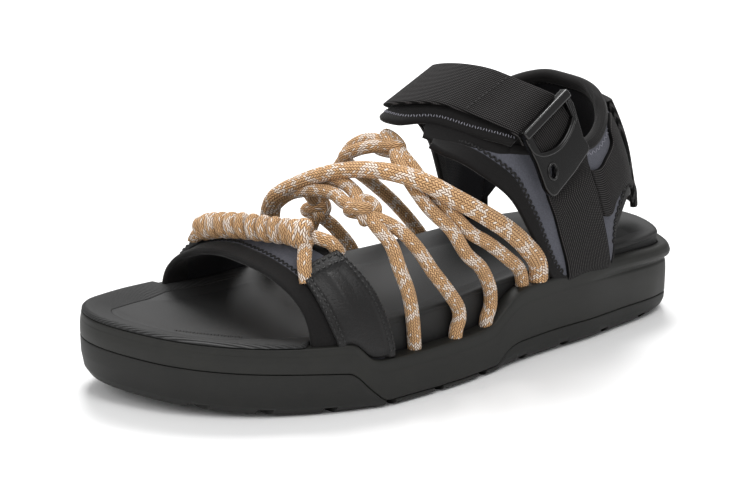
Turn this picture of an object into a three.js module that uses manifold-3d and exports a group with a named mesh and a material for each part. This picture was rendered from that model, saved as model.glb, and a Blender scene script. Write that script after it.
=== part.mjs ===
// A left beach sandal in millimetres: toe towards +X, the wearer's outer side towards +Y, floor at z = 0.
// The sole is three lofts of one outline, the straps are thin sheets, and the cords are swept tubes.
import * as THREE from "three";
import { mergeVertices } from "three/addons/utils/BufferGeometryUtils.js";
import Module from "manifold-3d";

// Driving sizes of the sole
const LENGTH = 292; // heel to toe
const WIDTH = 112; // across the ball
const FORE_RIM = 31.8; // top edge of the midsole at the forefoot
const WAIST_RIM = 22; // top edge of the midsole where the cords leave it
const HEEL_RIM = 36.5; // top edge of the midsole at the heel
const HEEL_SAG = 3.2; // how much lower the rim and the bead are at the very back
const RUBBER_FORE = 18.8; // top line of the outsole at the forefoot
const RUBBER_WAIST = 3.2; // outsole under the waist
const RUBBER_HEEL = 10.8; // top line of the outsole at the heel
const TOE_SPRING = 7.5; // lift of the underside at the toe
const TOE_RISE = 5.5; // lift of the rim at the toe
const HEEL_ROCKER = 2.6; // lift of the underside at the back of the heel
const BED_STAND = 3.8; // footbed edge above the rim at the heel
const BED_LIP = 1.6; // and at the forefoot
const ARCH_TOP = 38.5; // footbed edge along the waist
const DISH = 3.5; // depth of the footbed's hollow
const RECESS = 7; // how deep the footbed sits in the midsole
const HEEL_BEAD = 1.8; // how far the bead round the heel stands out
const GROOVE_WIDE = 5; // tread grooves
const GROOVE_DEEP = 2.4;
const GROOVE_LONG = 15;

// Driving sizes of the upper
const COLLAR = 110; // height of the collar at the back of the heel
const VAMP_TOP = 62.5; // height of the vamp strap under its knot
const WALL = 3; // padded wall of the straps
const ROLL = 1.6; // extra thickness of the collar's padded edge
const PATCH = 1.6; // leather patches
const SEAM = 0.8; // raised double seam along a patch's edge
const WEBBING = 1.8; // woven webbing
const PAD = 3; // padded lining of the instep strap
const PAD_LIP = 8; // how far the lining shows in front of the webbing
const TAB = 3.4; // fold-over strap at the back of the heel
const BUCKLE_LONG = 33;
const BUCKLE_WIDE = 31;
const BUCKLE_THICK = 3.6;
const RAIL = 4.2; // bar across the top of the buckle
const CORD = 6.4; // thin cord's diameter
const THICK_CORD = 9.6; // thick cord's width
const THICK_FLAT = 7.2; // and its height
const KNOT = 12; // barrel knot's diameter
const TURNS = 12; // turns of cord in it
const GAP = 0.3; // between pieces that touch
const STATIONS = 24; // sections along the sole, with more of them at the two steps of its side

const wasm = await Module();
wasm.setup();
const { sin, cos, PI, abs, sign, min, max, acos, hypot } = Math;
const V = (x, y, z) => new THREE.Vector3(x, y, z);
const mix = (a, b, t) => a + (b - a) * t;
const ramp = (a, b, x) => {
  const t = min(1, max(0, (x - a) / (b - a)));
  return t * t * (3 - 2 * t);
};

// A smooth curve through the named column of a table whose first column is "at"
function column(table, name) {
  const slope = table.map((row, i) => {
    const a = table[max(0, i - 1)];
    const b = table[min(table.length - 1, i + 1)];
    return (b[name] - a[name]) / (b.at - a.at);
  });
  return (x) => {
    if (x <= table[0].at) return table[0][name];
    const i = table.findIndex((row) => row.at >= x);
    if (i < 0) return table[table.length - 1][name];
    const a = table[i - 1];
    const h = table[i].at - a.at;
    const t = (x - a.at) / h;
    const rise = (3 - 2 * t) * t * t;
    return mix(a[name], table[i][name], rise) + h * t * (1 - t) * ((1 - t) * slope[i - 1] - t * slope[i]);
  };
}

// The sole's outline: share of the length from the heel, half widths as shares of half the ball width
const OUTLINE = [
  { at: 0, outer: 0.018, inner: 0.018 },
  { at: 0.02, outer: 0.402, inner: -0.348 },
  { at: 0.05, outer: 0.509, inner: -0.518 },
  { at: 0.1, outer: 0.589, inner: -0.666 },
  { at: 0.2, outer: 0.679, inner: -0.777 },
  { at: 0.3, outer: 0.741, inner: -0.804 },
  { at: 0.4, outer: 0.83, inner: -0.777 },
  { at: 0.5, outer: 0.938, inner: -0.777 },
  { at: 0.6, outer: 0.991, inner: -0.866 },
  { at: 0.65, outer: 1, inner: -0.929 },
  { at: 0.7, outer: 0.97, inner: -0.979 },
  { at: 0.8, outer: 0.795, inner: -1 },
  { at: 0.87, outer: 0.589, inner: -0.946 },
  { at: 0.93, outer: 0.321, inner: -0.836 },
  { at: 0.975, outer: 0, inner: -0.696 },
  { at: 1, outer: -0.375, inner: -0.375 },
];
const turn = (share) => acos(1 - 2 * share);
const ROUND = [
  ...OUTLINE.map((row) => ({ at: turn(row.at), side: row.outer })),
  ...OUTLINE.slice(0, -1).reverse().map((row) => ({ at: 2 * PI - turn(row.at), side: row.inner })),
];
const before = { at: ROUND[ROUND.length - 2].at - 2 * PI, side: ROUND[ROUND.length - 2].side };
const after = { at: ROUND[1].at + 2 * PI, side: ROUND[1].side };
const sideAt = column([before, ...ROUND, after], "side");

// A point of the outline at an angle, moved inwards by the inset
function outline(angle, inset) {
  const point = (a) => [(-LENGTH / 2) * cos(a), (sideAt(a) * WIDTH) / 2];
  const [x, y] = point(angle);
  const step = 1e-3;
  const [x0, y0] = point(max(0, angle - step));
  const [x1, y1] = point(min(2 * PI, angle + step));
  const run = hypot(x1 - x0, y1 - y0);
  return [x + ((y1 - y0) / run) * inset, y - ((x1 - x0) / run) * inset];
}

// Heights along the sole, by share of the length from the heel
const RIM = [
  { at: 0, height: HEEL_RIM - HEEL_SAG },
  { at: 0.16, height: HEEL_RIM },
  { at: 0.33, height: HEEL_RIM - 0.6 },
  { at: 0.37, height: mix(WAIST_RIM, HEEL_RIM, 0.86) },
  { at: 0.4, height: mix(WAIST_RIM, HEEL_RIM, 0.45) },
  { at: 0.43, height: WAIST_RIM + 0.8 },
  { at: 0.5, height: WAIST_RIM },
  { at: 0.63, height: WAIST_RIM },
  { at: 0.66, height: mix(WAIST_RIM, FORE_RIM, 0.16) },
  { at: 0.688, height: mix(WAIST_RIM, FORE_RIM, 0.92) },
  { at: 0.72, height: FORE_RIM },
  { at: 1, height: FORE_RIM },
];
const RUBBER = [
  { at: 0, height: RUBBER_HEEL - HEEL_SAG / 2 },
  { at: 0.16, height: RUBBER_HEEL },
  { at: 0.37, height: RUBBER_HEEL },
  { at: 0.4, height: mix(RUBBER_WAIST, RUBBER_HEEL, 0.6) },
  { at: 0.42, height: RUBBER_WAIST },
  { at: 0.635, height: RUBBER_WAIST },
  { at: 0.66, height: mix(RUBBER_WAIST, RUBBER_FORE, 0.35) },
  { at: 0.7, height: RUBBER_FORE },
  { at: 1, height: RUBBER_FORE },
];
const BED = [
  { at: 0, height: HEEL_RIM + BED_STAND },
  { at: 0.3, height: HEEL_RIM + BED_STAND },
  { at: 0.5, height: ARCH_TOP },
  { at: 0.68, height: FORE_RIM + BED_STAND },
  { at: 0.76, height: FORE_RIM + BED_LIP },
  { at: 1, height: FORE_RIM + BED_LIP },
];
const rimTable = column(RIM, "height");
const rubberTable = column(RUBBER, "height");
const bedTable = column(BED, "height");
const toeLift = (s) => max(0, (s - 0.7) / 0.3) ** 2;
const underside = (s) => TOE_SPRING * toeLift(s) + HEEL_ROCKER * max(0, (0.12 - s) / 0.12) ** 2;
const rimHeight = (s) => rimTable(s) + TOE_RISE * toeLift(s);
const rubberHeight = (s) => max(rubberTable(s) + TOE_SPRING * toeLift(s), underside(s) + RUBBER_WAIST);
const bedHeight = (s) => bedTable(s) + TOE_RISE * toeLift(s);

// Straps stand this far in from the outline.
const EDGE = 1.4;
// How far the footbed's side stands in from the outline: room for cords at the waist, for straps elsewhere
const SLOT_CORD = CORD + 2;
const SLOT_STRAP = EDGE + PATCH + WALL + 2 * GAP;
const slot = (s) =>
  mix(SLOT_STRAP, SLOT_CORD, ramp(0.29, 0.315, s) * ramp(0.67, 0.64, s)) - (SLOT_STRAP - 2) * ramp(0.83, 0.88, s);

// Solids: a closed mesh from vertices and triangles, facing out
function closed(points, triangles) {
  let volume = 0;
  for (const [a, b, c] of triangles) volume += points[a].dot(V().copy(points[b]).cross(points[c]));
  const faces = volume < 0 ? triangles.map(([a, b, c]) => [a, c, b]) : triangles;
  const geometry = new THREE.BufferGeometry().setFromPoints(points);
  geometry.setIndex(faces.flat());
  geometry.computeVertexNormals();
  return geometry;
}

// A loft of rings of equal count, each end closed by a ladder between the ring's two sides
function loft(rings) {
  const n = rings[0].length;
  const triangles = [];
  const quad = (a, b, c, d) => triangles.push([a, b, c], [a, c, d]);
  for (let k = 0; k + 1 < rings.length; k++)
    for (let i = 0; i < n; i++) {
      const j = (i + 1) % n;
      quad(k * n + i, k * n + j, (k + 1) * n + j, (k + 1) * n + i);
    }
  for (const [base, up] of [[0, false], [(rings.length - 1) * n, true]])
    for (let i = 0; i < n / 2; i++) {
      const [a, b, c, d] = [i, i + 1, n - i - 1, (n - i) % n].map((v) => base + v);
      const faces = [];
      if (b !== c) faces.push([a, b, c]);
      if (a !== d) faces.push([a, c, d]);
      for (const [p, q, r] of faces) triangles.push(up ? [p, q, r] : [p, r, q]);
    }
  return closed(rings.flat(), triangles);
}

// A thin sheet: a grid of points on the outer face, thickened inwards
function sheet(grid, thickness) {
  const rows = grid.length;
  const cols = grid[0].length;
  const points = [];
  const normal = (i, j) => {
    const along = V().subVectors(grid[min(i + 1, rows - 1)][j], grid[max(i - 1, 0)][j]);
    const across = V().subVectors(grid[i][min(j + 1, cols - 1)], grid[i][max(j - 1, 0)]);
    return across.cross(along).normalize();
  };
  for (let i = 0; i < rows; i++) for (let j = 0; j < cols; j++) points.push(grid[i][j].clone());
  for (let i = 0; i < rows; i++)
    for (let j = 0; j < cols; j++) {
      const depth = thickness(i / (rows - 1), j / (cols - 1));
      points.push(grid[i][j].clone().addScaledVector(normal(i, j), -depth));
    }
  const half = rows * cols;
  const triangles = [];
  const quad = (a, b, c, d) => triangles.push([a, b, c], [a, c, d]);
  for (let i = 0; i + 1 < rows; i++)
    for (let j = 0; j + 1 < cols; j++) {
      const a = i * cols + j;
      quad(a, a + 1, a + cols + 1, a + cols);
      quad(half + a, half + a + cols, half + a + cols + 1, half + a + 1);
    }
  for (let j = 0; j + 1 < cols; j++) {
    quad(j + 1, j, half + j, half + j + 1);
    const a = (rows - 1) * cols + j;
    quad(a, a + 1, half + a + 1, half + a);
  }
  for (let i = 0; i + 1 < rows; i++) {
    const a = i * cols;
    quad(a, a + cols, half + a + cols, half + a);
    const b = a + cols - 1;
    quad(b + cols, b, half + b, half + b + cols);
  }
  return closed(points, triangles);
}

// Manifold solids for joins and cuts
function solid(geometry) {
  const bare = new THREE.BufferGeometry().setAttribute("position", geometry.getAttribute("position").clone());
  if (geometry.index) bare.setIndex(geometry.index.clone());
  const merged = mergeVertices(bare, 1e-3);
  const triVerts = new Uint32Array(merged.index.array);
  const vertProperties = new Float32Array(merged.getAttribute("position").array);
  return new wasm.Manifold(new wasm.Mesh({ numProp: 3, vertProperties, triVerts }));
}
function meshed(manifold) {
  const { vertProperties, triVerts, numProp } = manifold.getMesh();
  const geometry = new THREE.BufferGeometry();
  const position = [];
  for (let i = 0; i < vertProperties.length; i += numProp) position.push(...vertProperties.slice(i, i + 3));
  geometry.setAttribute("position", new THREE.Float32BufferAttribute(position, 3));
  geometry.setIndex([...triVerts]);
  geometry.computeVertexNormals();
  return geometry;
}

// Sole
const shareOf = (angle) => (1 - cos(angle)) / 2;
const STEPS = [0.35, 0.365, 0.38, 0.395, 0.41, 0.425, 0.44, 0.63, 0.645, 0.66, 0.672, 0.685, 0.7, 0.715];
const even = Array.from({ length: STATIONS - 1 }, (v, i) => shareOf((PI * (i + 1)) / STATIONS));
const stations = [...even.filter((s) => STEPS.every((step) => abs(step - s) > 0.012)), ...STEPS];
const along = stations.sort((a, b) => a - b).map(turn);
const angles = [0, ...along, PI, ...along.map((angle) => 2 * PI - angle).reverse()];
const heel = (s) => ramp(0.24, 0.12, s);
const ring = (inset, height) =>
  angles.map((angle) => {
    const s = shareOf(angle);
    const [x, y] = outline(angle, typeof inset === "function" ? inset(s) : inset);
    return V(x, y, height(s));
  });
const setBack = (s) => HEEL_BEAD * heel(s);

function outsole() {
  const rise = (t) => (s) => mix(underside(s), rubberHeight(s), t);
  const body = loft([
    ring(7, rise(0)),
    ring((s) => 4.2 + setBack(s), rise(0.02)),
    ring((s) => 1.4 + setBack(s), rise(0.24)),
    ring((s) => 0.2 + setBack(s), rise(0.6)),
    ring(setBack, rise(1)),
  ]);
  let cut = solid(body);
  const grooves = [0.09, 0.18, 0.27, 0.36, 0.45, 0.54, 0.63, 0.72, 0.81, 0.89];
  for (const share of grooves)
    for (const side of [1, -1]) {
      const angle = side > 0 ? turn(share) : 2 * PI - turn(share);
      const [x, y] = outline(angle, 0);
      const box = new THREE.BoxGeometry(GROOVE_WIDE, 2 * GROOVE_LONG, 2 * GROOVE_DEEP);
      box.rotateZ(side * 0.25).translate(x, y, underside(share));
      cut = cut.subtract(solid(box));
    }
  return meshed(cut);
}

function midsole() {
  const floor = (s) => rubberHeight(s) + GAP;
  const rise = (t, drop = 0) => (s) => mix(floor(s), rimHeight(s), t) - drop * heel(s);
  return loft([
    ring(setBack, floor),
    ring(setBack, rise(0.45)),
    ring((s) => setBack(s) + 0.3, rise(0.7, 1.4)),
    ring((s) => mix(0.4, HEEL_BEAD + 1.2, heel(s)), rise(0.72, 0.6)),
    ring((s) => mix(0.5, 0.5, heel(s)), rise(0.78)),
    ring((s) => mix(0.6, 0, heel(s)), rise(0.86)),
    ring((s) => mix(0.8, 0.9, heel(s)), rise(0.96)),
    ring((s) => mix(1.4, 2.6, heel(s)), rise(1)),
    ring((s) => slot(s) - GAP, rise(1)),
    ring((s) => slot(s) - GAP, (s) => rimHeight(s) - RECESS),
  ]);
}

function footbed(spare = 0) {
  const floor = (s) => rimHeight(s) - RECESS + GAP;
  const edge = (inset) => (s) => slot(s) + inset - spare;
  return loft([
    ring(edge(0), floor),
    ring(edge(0), (s) => bedHeight(s) - 1.6),
    ring(edge(1.4), bedHeight),
    ring(edge(6), (s) => bedHeight(s) - 0.3 * DISH),
    ring(edge(13), (s) => bedHeight(s) - DISH),
  ]);
}

// What seats on the sole is trimmed to stand a gap off it
function offTheSole(piece) {
  return piece.subtract(solid(midsole()).translate(0, 0, GAP)).subtract(solid(footbed(GAP)));
}

// A point of the upper: share of the length, side as a share of half the width, height as a share of the collar's
const at = (share, side, up) => V((share - 0.5) * LENGTH, (side * WIDTH) / 2, up * COLLAR);

// The place on the rim of the midsole where a strap goes down into the sole, before it is trimmed
const ROOT = 3;
function seatAt(share, side, inset = EDGE) {
  const angle = side > 0 ? turn(share) : 2 * PI - turn(share);
  const [x, y] = outline(angle, inset);
  return V(x, y, rimHeight(share) - ROOT);
}

// Smooth curve through hand-chosen points, read by the index of its points
const through = (points) => {
  const curve = new THREE.CatmullRomCurve3(points, false, "centripetal");
  return (t) => curve.getPoint(t);
};

// The arch that the vamp strap lies on: a section at each share of the length, from the outer side to the inner
const CREST = [
  { at: 0.52, height: 1.36 },
  { at: 0.6, height: 1.29 },
  { at: 0.68, height: 1.155 },
  { at: 0.747, height: 1.03 },
  { at: 0.79, height: 0.944 },
  { at: 0.85, height: 0.85 },
];
const crest = column(CREST, "height");
const FULLNESS = 2.3;
function arch(share, angle, inset = EDGE) {
  const outer = seatAt(share, 1, inset);
  const inner = seatAt(share, -1, inset);
  const middle = mix(outer.y, inner.y, 0.56);
  const reach = cos(angle) > 0 ? outer.y - middle : middle - inner.y;
  const round = (v) => sign(v) * abs(v) ** (2 / FULLNESS);
  const top = crest(share) * VAMP_TOP - (inset - EDGE);
  return V(mix(-LENGTH / 2, LENGTH / 2, share), middle + reach * round(cos(angle)), mix(outer.z, top, round(sin(angle))));
}

// Front and back edges of the vamp strap and of its patches, from the outer base (0) to the inner base (1)
const VAMP = [
  { at: 0, front: 0.748, back: 0.617 },
  { at: 0.16, front: 0.752, back: 0.64 },
  { at: 0.3, front: 0.763, back: 0.668 },
  { at: 0.5, front: 0.782, back: 0.7 },
  { at: 0.7, front: 0.802, back: 0.702 },
  { at: 0.84, front: 0.812, back: 0.69 },
  { at: 1, front: 0.816, back: 0.642 },
];
const vampFront = column(VAMP, "front");
const vampBack = column(VAMP, "back");
const vampPoint = (t, w, inset) => arch(mix(vampFront(t), vampBack(t), w), PI * t, inset);
const grid = (rows, cols, point) =>
  Array.from({ length: rows + 1 }, (v, i) => Array.from({ length: cols + 1 }, (u, j) => point(i / rows, j / cols)));

const VAMP_INSET = PATCH + GAP;
function vampStrap() {
  const points = grid(24, 4, (u, v) => vampPoint(u, v, EDGE + VAMP_INSET));
  return meshed(offTheSole(solid(sheet(points, () => WALL - GAP))));
}

// A leather patch covers the base of the strap on one side, up to a slanted top edge
function vampPatch(from, to, frontWay, backWay) {
  const edge = (u, v) => (u < 0.13 || v < 0.16 || v > 0.84 ? SEAM : 0);
  const points = grid(9, 8, (u, v) => {
    const t = mix(from, to, u * mix(1, 1.05, v));
    return vampPoint(t, mix(frontWay, backWay, v), EDGE - edge(1 - u, v));
  });
  const outer = from < to;
  const patch = sheet(outer ? points : points.reverse(), (u, v) => PATCH + edge(outer ? 1 - u : u, v));
  return meshed(offTheSole(solid(patch)));
}

// The quarter: rows from the collar (top) to the lower edge (low), round the heel from the outer front
const QUARTER = [
  { top: at(0.478, 0.19, 0.945), low: at(0.492, 0.28, 0.963) },
  { top: at(0.452, 0.28, 0.94), low: at(0.476, 0.4, 0.918) },
  { top: at(0.42, 0.39, 0.93), low: at(0.449, 0.5, 0.876) },
  { top: at(0.382, 0.48, 0.915), low: at(0.413, 0.589, 0.8) },
  { top: at(0.342, 0.55, 0.9), low: at(0.373, 0.643, 0.7) },
  { top: at(0.308, 0.58, 0.886), low: at(0.338, 0.695, 0.53) },
  { top: at(0.281, 0.589, 0.88), low: seatAt(0.287, 1) },
  { top: at(0.25, 0.585, 0.875), low: seatAt(0.229, 1) },
  { top: at(0.219, 0.554, 0.868), low: seatAt(0.175, 1) },
  { top: at(0.192, 0.49, 0.885), low: at(0.168, 0.63, 0.455) },
  { top: at(0.165, 0.375, 0.93), low: at(0.132, 0.52, 0.575) },
  { top: at(0.147, 0.22, 0.98), low: at(0.098, 0.33, 0.55) },
  { top: at(0.136, -0.03, 1.01), low: at(0.073, -0.03, 0.53) },
  { top: at(0.147, -0.27, 1.02), low: at(0.098, -0.39, 0.55) },
  { top: at(0.165, -0.43, 1.025), low: at(0.15, -0.58, 0.57) },
  { top: at(0.192, -0.535, 1.01), low: at(0.208, -0.68, 0.535) },
  { top: at(0.219, -0.6, 0.985), low: at(0.235, -0.72, 0.44) },
  { top: at(0.238, -0.62, 0.965), low: seatAt(0.228, -1) },
  { top: at(0.258, -0.625, 0.945), low: seatAt(0.258, -1) },
  { top: at(0.281, -0.625, 0.925), low: seatAt(0.29, -1) },
  { top: at(0.301, -0.607, 0.92), low: at(0.33, -0.7, 0.53) },
  { top: at(0.318, -0.589, 0.925), low: at(0.363, -0.6, 0.727) },
  { top: at(0.342, -0.554, 0.945), low: at(0.397, -0.464, 0.873) },
];
const collarLine = through(QUARTER.map((row) => row.top));
const lowLine = through(QUARTER.map((row) => row.low));
const BULGE = 0.05;
function quarterPoint(u, v) {
  const top = collarLine(u);
  const low = lowLine(u);
  const point = top.clone().lerp(low, v);
  const out = V(point.x - (0.25 - 0.5) * LENGTH, point.y * 1.6, 0).normalize();
  return point.addScaledVector(out, BULGE * top.distanceTo(low) * sin(PI * v));
}
function quarter() {
  const thickness = (u, v) => WALL + ROLL * ramp(0.2, 0, v);
  return meshed(offTheSole(solid(sheet(grid(42, 6, quarterPoint), thickness))));
}

// The nearest place on the quarter to a point, lifted outwards; overlays are laid on it this way
function onQuarter(target, lift, from = 0, to = 1) {
  let best = null;
  let [u0, u1, v0, v1] = [from, to, 0, 1];
  for (let pass = 0; pass < 5; pass++) {
    for (let i = 0; i <= 16; i++)
      for (let j = 0; j <= 8; j++) {
        const [u, v] = [mix(u0, u1, i / 16), mix(v0, v1, j / 8)];
        const gap = quarterPoint(u, v).distanceTo(target);
        if (!best || gap < best.gap) best = { u, v, gap };
      }
    const [du, dv] = [(u1 - u0) / 8, (v1 - v0) / 4];
    [u0, u1] = [max(from, best.u - du), min(to, best.u + du)];
    [v0, v1] = [max(0, best.v - dv), min(1, best.v + dv)];
  }
  const { u, v } = best;
  const step = 0.004;
  const along = V().subVectors(quarterPoint(min(1, u + step), v), quarterPoint(max(0, u - step), v));
  const across = V().subVectors(quarterPoint(u, min(1, v + step)), quarterPoint(u, max(0, v - step)));
  return quarterPoint(u, v).addScaledVector(across.cross(along).normalize(), lift);
}

// Strips between a front and a back edge, each edge a list of points
function strip(front, back, rows, cols, thickness, place = (p) => p) {
  const [a, b] = [through(front), through(back)];
  const points = grid(rows, cols, (u, v) => place(a(u).lerp(b(u), v), u));
  return sheet(points, thickness);
}

// The instep strap, from the inner quarter over the instep to the buckle
const INSTEP = [
  { front: at(0.322, -0.72, 0.55), back: at(0.248, -0.7, 0.57), lip: 0 },
  { front: at(0.349, -0.65, 0.7), back: at(0.262, -0.68, 0.78), lip: 0 },
  { front: at(0.412, -0.54, 0.875), back: at(0.318, -0.61, 0.965), lip: 0 },
  { front: at(0.465, -0.37, 0.955), back: at(0.37, -0.45, 1.07), lip: 0.2 },
  { front: at(0.496, -0.17, 1.005), back: at(0.395, -0.23, 1.13), lip: 0.5 },
  { front: at(0.48, 0.03, 1.045), back: at(0.384, 0, 1.172), lip: 1 },
  { front: at(0.445, 0.2, 1.052), back: at(0.356, 0.19, 1.17), lip: 0.9 },
  { front: at(0.408, 0.385, 1.025), back: at(0.322, 0.37, 1.14), lip: 0.8 },
  { front: at(0.38, 0.54, 0.99), back: at(0.295, 0.51, 1.105), lip: 0.6 },
  { front: at(0.363, 0.62, 0.955), back: at(0.277, 0.535, 1.075), lip: 0.3 },
  { front: at(0.352, 0.63, 0.91), back: at(0.266, 0.555, 1.03), lip: 0 },
];
const SEWN = 0.16; // share of the webbing that is sewn flat on the quarter
function instepWebbing() {
  const place = (p, u) => (u > 1.6 * SEWN ? p : onQuarter(p, WEBBING + 2 * GAP + 0.3, 0.7, 1).lerp(p, ramp(SEWN, 1.6 * SEWN, u)));
  return strip(INSTEP.map((row) => row.back), INSTEP.map((row) => row.front), 26, 3, () => WEBBING, place);
}
const PAD_START = 2.4; // the lining starts at this row, where the quarter ends
function instepPad() {
  const rows = INSTEP.slice(Math.floor(PAD_START), -1).map((row, i, all) => {
    const share = i ? 0 : PAD_START % 1;
    const front = row.front.clone().lerp(all[1].front, share);
    const back = row.back.clone().lerp(all[1].back, share);
    const way = V().subVectors(front, back).normalize();
    const out = V(0, front.y, 55).normalize();
    back.addScaledVector(out, -WEBBING - 3 * GAP).addScaledVector(way, 1);
    front.addScaledVector(out, -WEBBING - 3 * GAP - 1.5 * row.lip).addScaledVector(way, PAD_LIP * row.lip);
    return { front, back };
  });
  return strip(rows.map((row) => row.back), rows.map((row) => row.front), 20, 3, () => PAD);
}

// Webbing that runs up each side from the sole, and on the outer side back to the heel strap
const SIDE = [
  { front: [0.277, 0.33], back: [0.188, 0.35] },
  { front: [0.289, 0.46], back: [0.2, 0.47] },
  { front: [0.306, 0.6], back: [0.212, 0.58] },
  { front: [0.325, 0.7], back: [0.222, 0.66] },
];
const ARM = [
  { front: [0.23, 0.79], back: [0.211, 0.61] },
  { front: [0.2, 0.77], back: [0.185, 0.59] },
  { front: [0.163, 0.72], back: [0.15, 0.58] },
];
function sideWebbing(table, side) {
  const [from, to] = side > 0 ? [0, 0.5] : [0.62, 1];
  const place = (p) => onQuarter(p, WEBBING + GAP, from, to);
  const edge = (name) => table.map((row) => at(row[name][0], 0.7 * side, row[name][1]));
  return meshed(offTheSole(solid(strip(edge("front"), edge("back"), 10, 3, () => WEBBING, place))));
}

// The fold-over strap at the back of the heel: laid on the quarter, with its lower end free
const TAB_ROWS = [
  { x: 0.136, half: 0.22, up: 0.945 },
  { x: 0.108, half: 0.25, up: 0.79 },
  { x: 0.08, half: 0.27, up: 0.64 },
  { x: 0.066, half: 0.25, up: 0.455 },
];
const TAB_BOW = 8; // how far the free end is arched
function heelTab() {
  const outer = through(TAB_ROWS.map((row) => at(row.x, row.half - 0.03, row.up)));
  const inner = through(TAB_ROWS.map((row) => at(row.x, -row.half - 0.03, row.up)));
  const rows = grid(8, 6, (u, v) => {
    const target = inner(u).lerp(outer(u), v);
    target.x -= TAB_BOW * sin(PI * v);
    const laid = onQuarter(target, TAB + 3 * GAP, 0.42, 0.7);
    return laid.lerp(target, ramp(0.7, 0.85, u));
  });
  return sheet(rows, () => TAB);
}

// The buckle: a plate with a window and a hole, and a rail across its upper end
const BUCKLE_CORNER = at(0.362, 0.641, 0.961);
const RAIL_WAY = V(-0.858, -0.195, 0.475).normalize();
const BUCKLE_FACING = V(-0.05, 0.952, 0.301).normalize();
function buckle() {
  const [w, l] = [BUCKLE_WIDE, BUCKLE_LONG];
  const plate = new THREE.Shape();
  plate.moveTo(-1, 0).lineTo(l * 0.44, -w * 0.08).lineTo(l * 0.77, -w * 0.19);
  plate.quadraticCurveTo(l, -w * 0.23, l * 0.96, -w * 0.03).lineTo(l * 0.93, w * 0.37);
  plate.lineTo(l * 0.87, w * 0.76).quadraticCurveTo(l * 0.83, w * 0.84, l * 0.66, w * 0.82);
  plate.lineTo(l * 0.21, w).lineTo(-1, w).closePath();
  const opening = new THREE.Path();
  opening.moveTo(l * 0.09, w * 0.1).lineTo(l * 0.09, w * 0.9).lineTo(l * 0.34, w * 0.86);
  opening.quadraticCurveTo(l * 0.6, w * 0.4, l * 0.36, w * 0.07).closePath();
  const hole = new THREE.Path().absellipse(l * 0.68, w * 0.05, 3.2, 1.9, 0, 2 * PI, true, -0.7);
  plate.holes.push(opening, hole);
  const body = new THREE.ExtrudeGeometry(plate, { depth: BUCKLE_THICK, bevelEnabled: false, curveSegments: 5 });
  const rail = new THREE.BoxGeometry(RAIL, w + 1, BUCKLE_THICK + 1.6).translate(1.1, w / 2, BUCKLE_THICK / 2 + 0.8);
  const way = V().crossVectors(RAIL_WAY, BUCKLE_FACING);
  const frame = new THREE.Matrix4().makeBasis(way, RAIL_WAY, BUCKLE_FACING);
  frame.setPosition(BUCKLE_CORNER.clone().addScaledVector(BUCKLE_FACING, -GAP));
  return meshed(solid(body).add(solid(rail))).applyMatrix4(frame);
}

// Cords
function tube(points, wide, flat, sides, steps) {
  const path = new THREE.CatmullRomCurve3(points, false, "centripetal");
  const section = new THREE.Shape();
  for (let i = 0; i < sides; i++) {
    const a = (2 * PI * i) / sides;
    const [x, y] = [(flat / 2) * cos(a), (wide / 2) * sin(a)];
    if (i) section.lineTo(x, y);
    else section.moveTo(x, y);
  }
  section.closePath();
  return new THREE.ExtrudeGeometry(section, { steps, extrudePath: path, bevelEnabled: false });
}
const list = (rows) => rows.map(([x, y, z]) => V(x, y, z));
const OUTER_KNOT = [32, 22, 79];
const TOP_KNOT = [3, -1, 97.4];
const INNER_KNOT = [-12, -42, 60];
const STRANDS = [
  [[25, 48.6, 19], [25.4, 48.9, 28], [26, 49.3, 37], [27, 49, 48], [29, 45.5, 60], [29, 40, 68], [31, 32, 74], OUTER_KNOT,
    [35, 12, 80], [35, 2, 81.5], [38, -10, 80], [42, -24, 75], [45, -34, 66], [45, -43, 54], [41, -47, 40], [37, -48, 19]],
  [[6.6, 47.6, 19], [6, 47.6, 25.5], [1.5, 47.6, 28.5], [-0.5, 47.4, 33.5], [4.5, 48.5, 43], [12, 47.5, 55], [18, 43, 66], [23, 36, 73], OUTER_KNOT,
    [29, 11, 83], [29, -1, 85], [31, -12, 83], [26, -26, 79], [10, -36, 72], INNER_KNOT, [-8, -41.5, 46], [-3, -37.4, 19]],
  [[-13.5, 43.6, 19], [-14.4, 43.4, 25.5], [-19, 43, 28.5], [-21.4, 42.8, 33.5], [-20.5, 44, 41], [-15, 45, 51], [-7, 45, 59], [-1, 42, 70],
    [6, 35, 79], [8, 24, 87], [7, 11, 94], TOP_KNOT, [7, -13, 98], [9, -22, 93], [3, -33, 80], INNER_KNOT,
    [-21, -42, 44], [-28, -38.4, 20]],
  [[-44, 37.4, 31], [-40.5, 39, 43], [-32, 42, 51], [-20, 43, 61], [-10, 42.5, 68], [-2, 36, 79], [2, 25, 87], [3, 12, 94],
    TOP_KNOT, [12, -9, 96], [17, -20, 90], [8, -33, 80], [-14, -42, 68], [-38, -43, 52], [-52, -38.8, 33]],
];
const THICK = [
  [-52.5, 37, 33], [-50, 39.5, 45], [-42, 41, 55], [-31, 42.5, 65], [-20, 42.5, 73], [-5, 39, 83], [6, 31, 90],
  [16, 19, 93], [25, 4, 91.5], [34, -9, 87], [41, -19, 81], [46, -28, 74], [45, -36, 64], [40, -43, 50], [32, -47, 36],
  [26, -45, 19],
];
const KNOTS = [
  { centre: OUTER_KNOT, size: [16, 12.5, 13.5] },
  { centre: TOP_KNOT, size: [13, 15, 13] },
  { centre: INNER_KNOT, size: [14, 11.5, 14] },
];
// All the cords cross and touch, so they are one joined solid
function cords() {
  let net = solid(tube(list(THICK), THICK_CORD, THICK_FLAT, 10, 20));
  for (const points of STRANDS) net = net.add(solid(tube(list(points), CORD, CORD, 8, 17)));
  for (const { centre, size } of KNOTS)
    net = net.add(solid(new THREE.SphereGeometry(0.5, 10, 7).scale(...size).translate(...centre)));
  return meshed(offTheSole(net));
}

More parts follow.
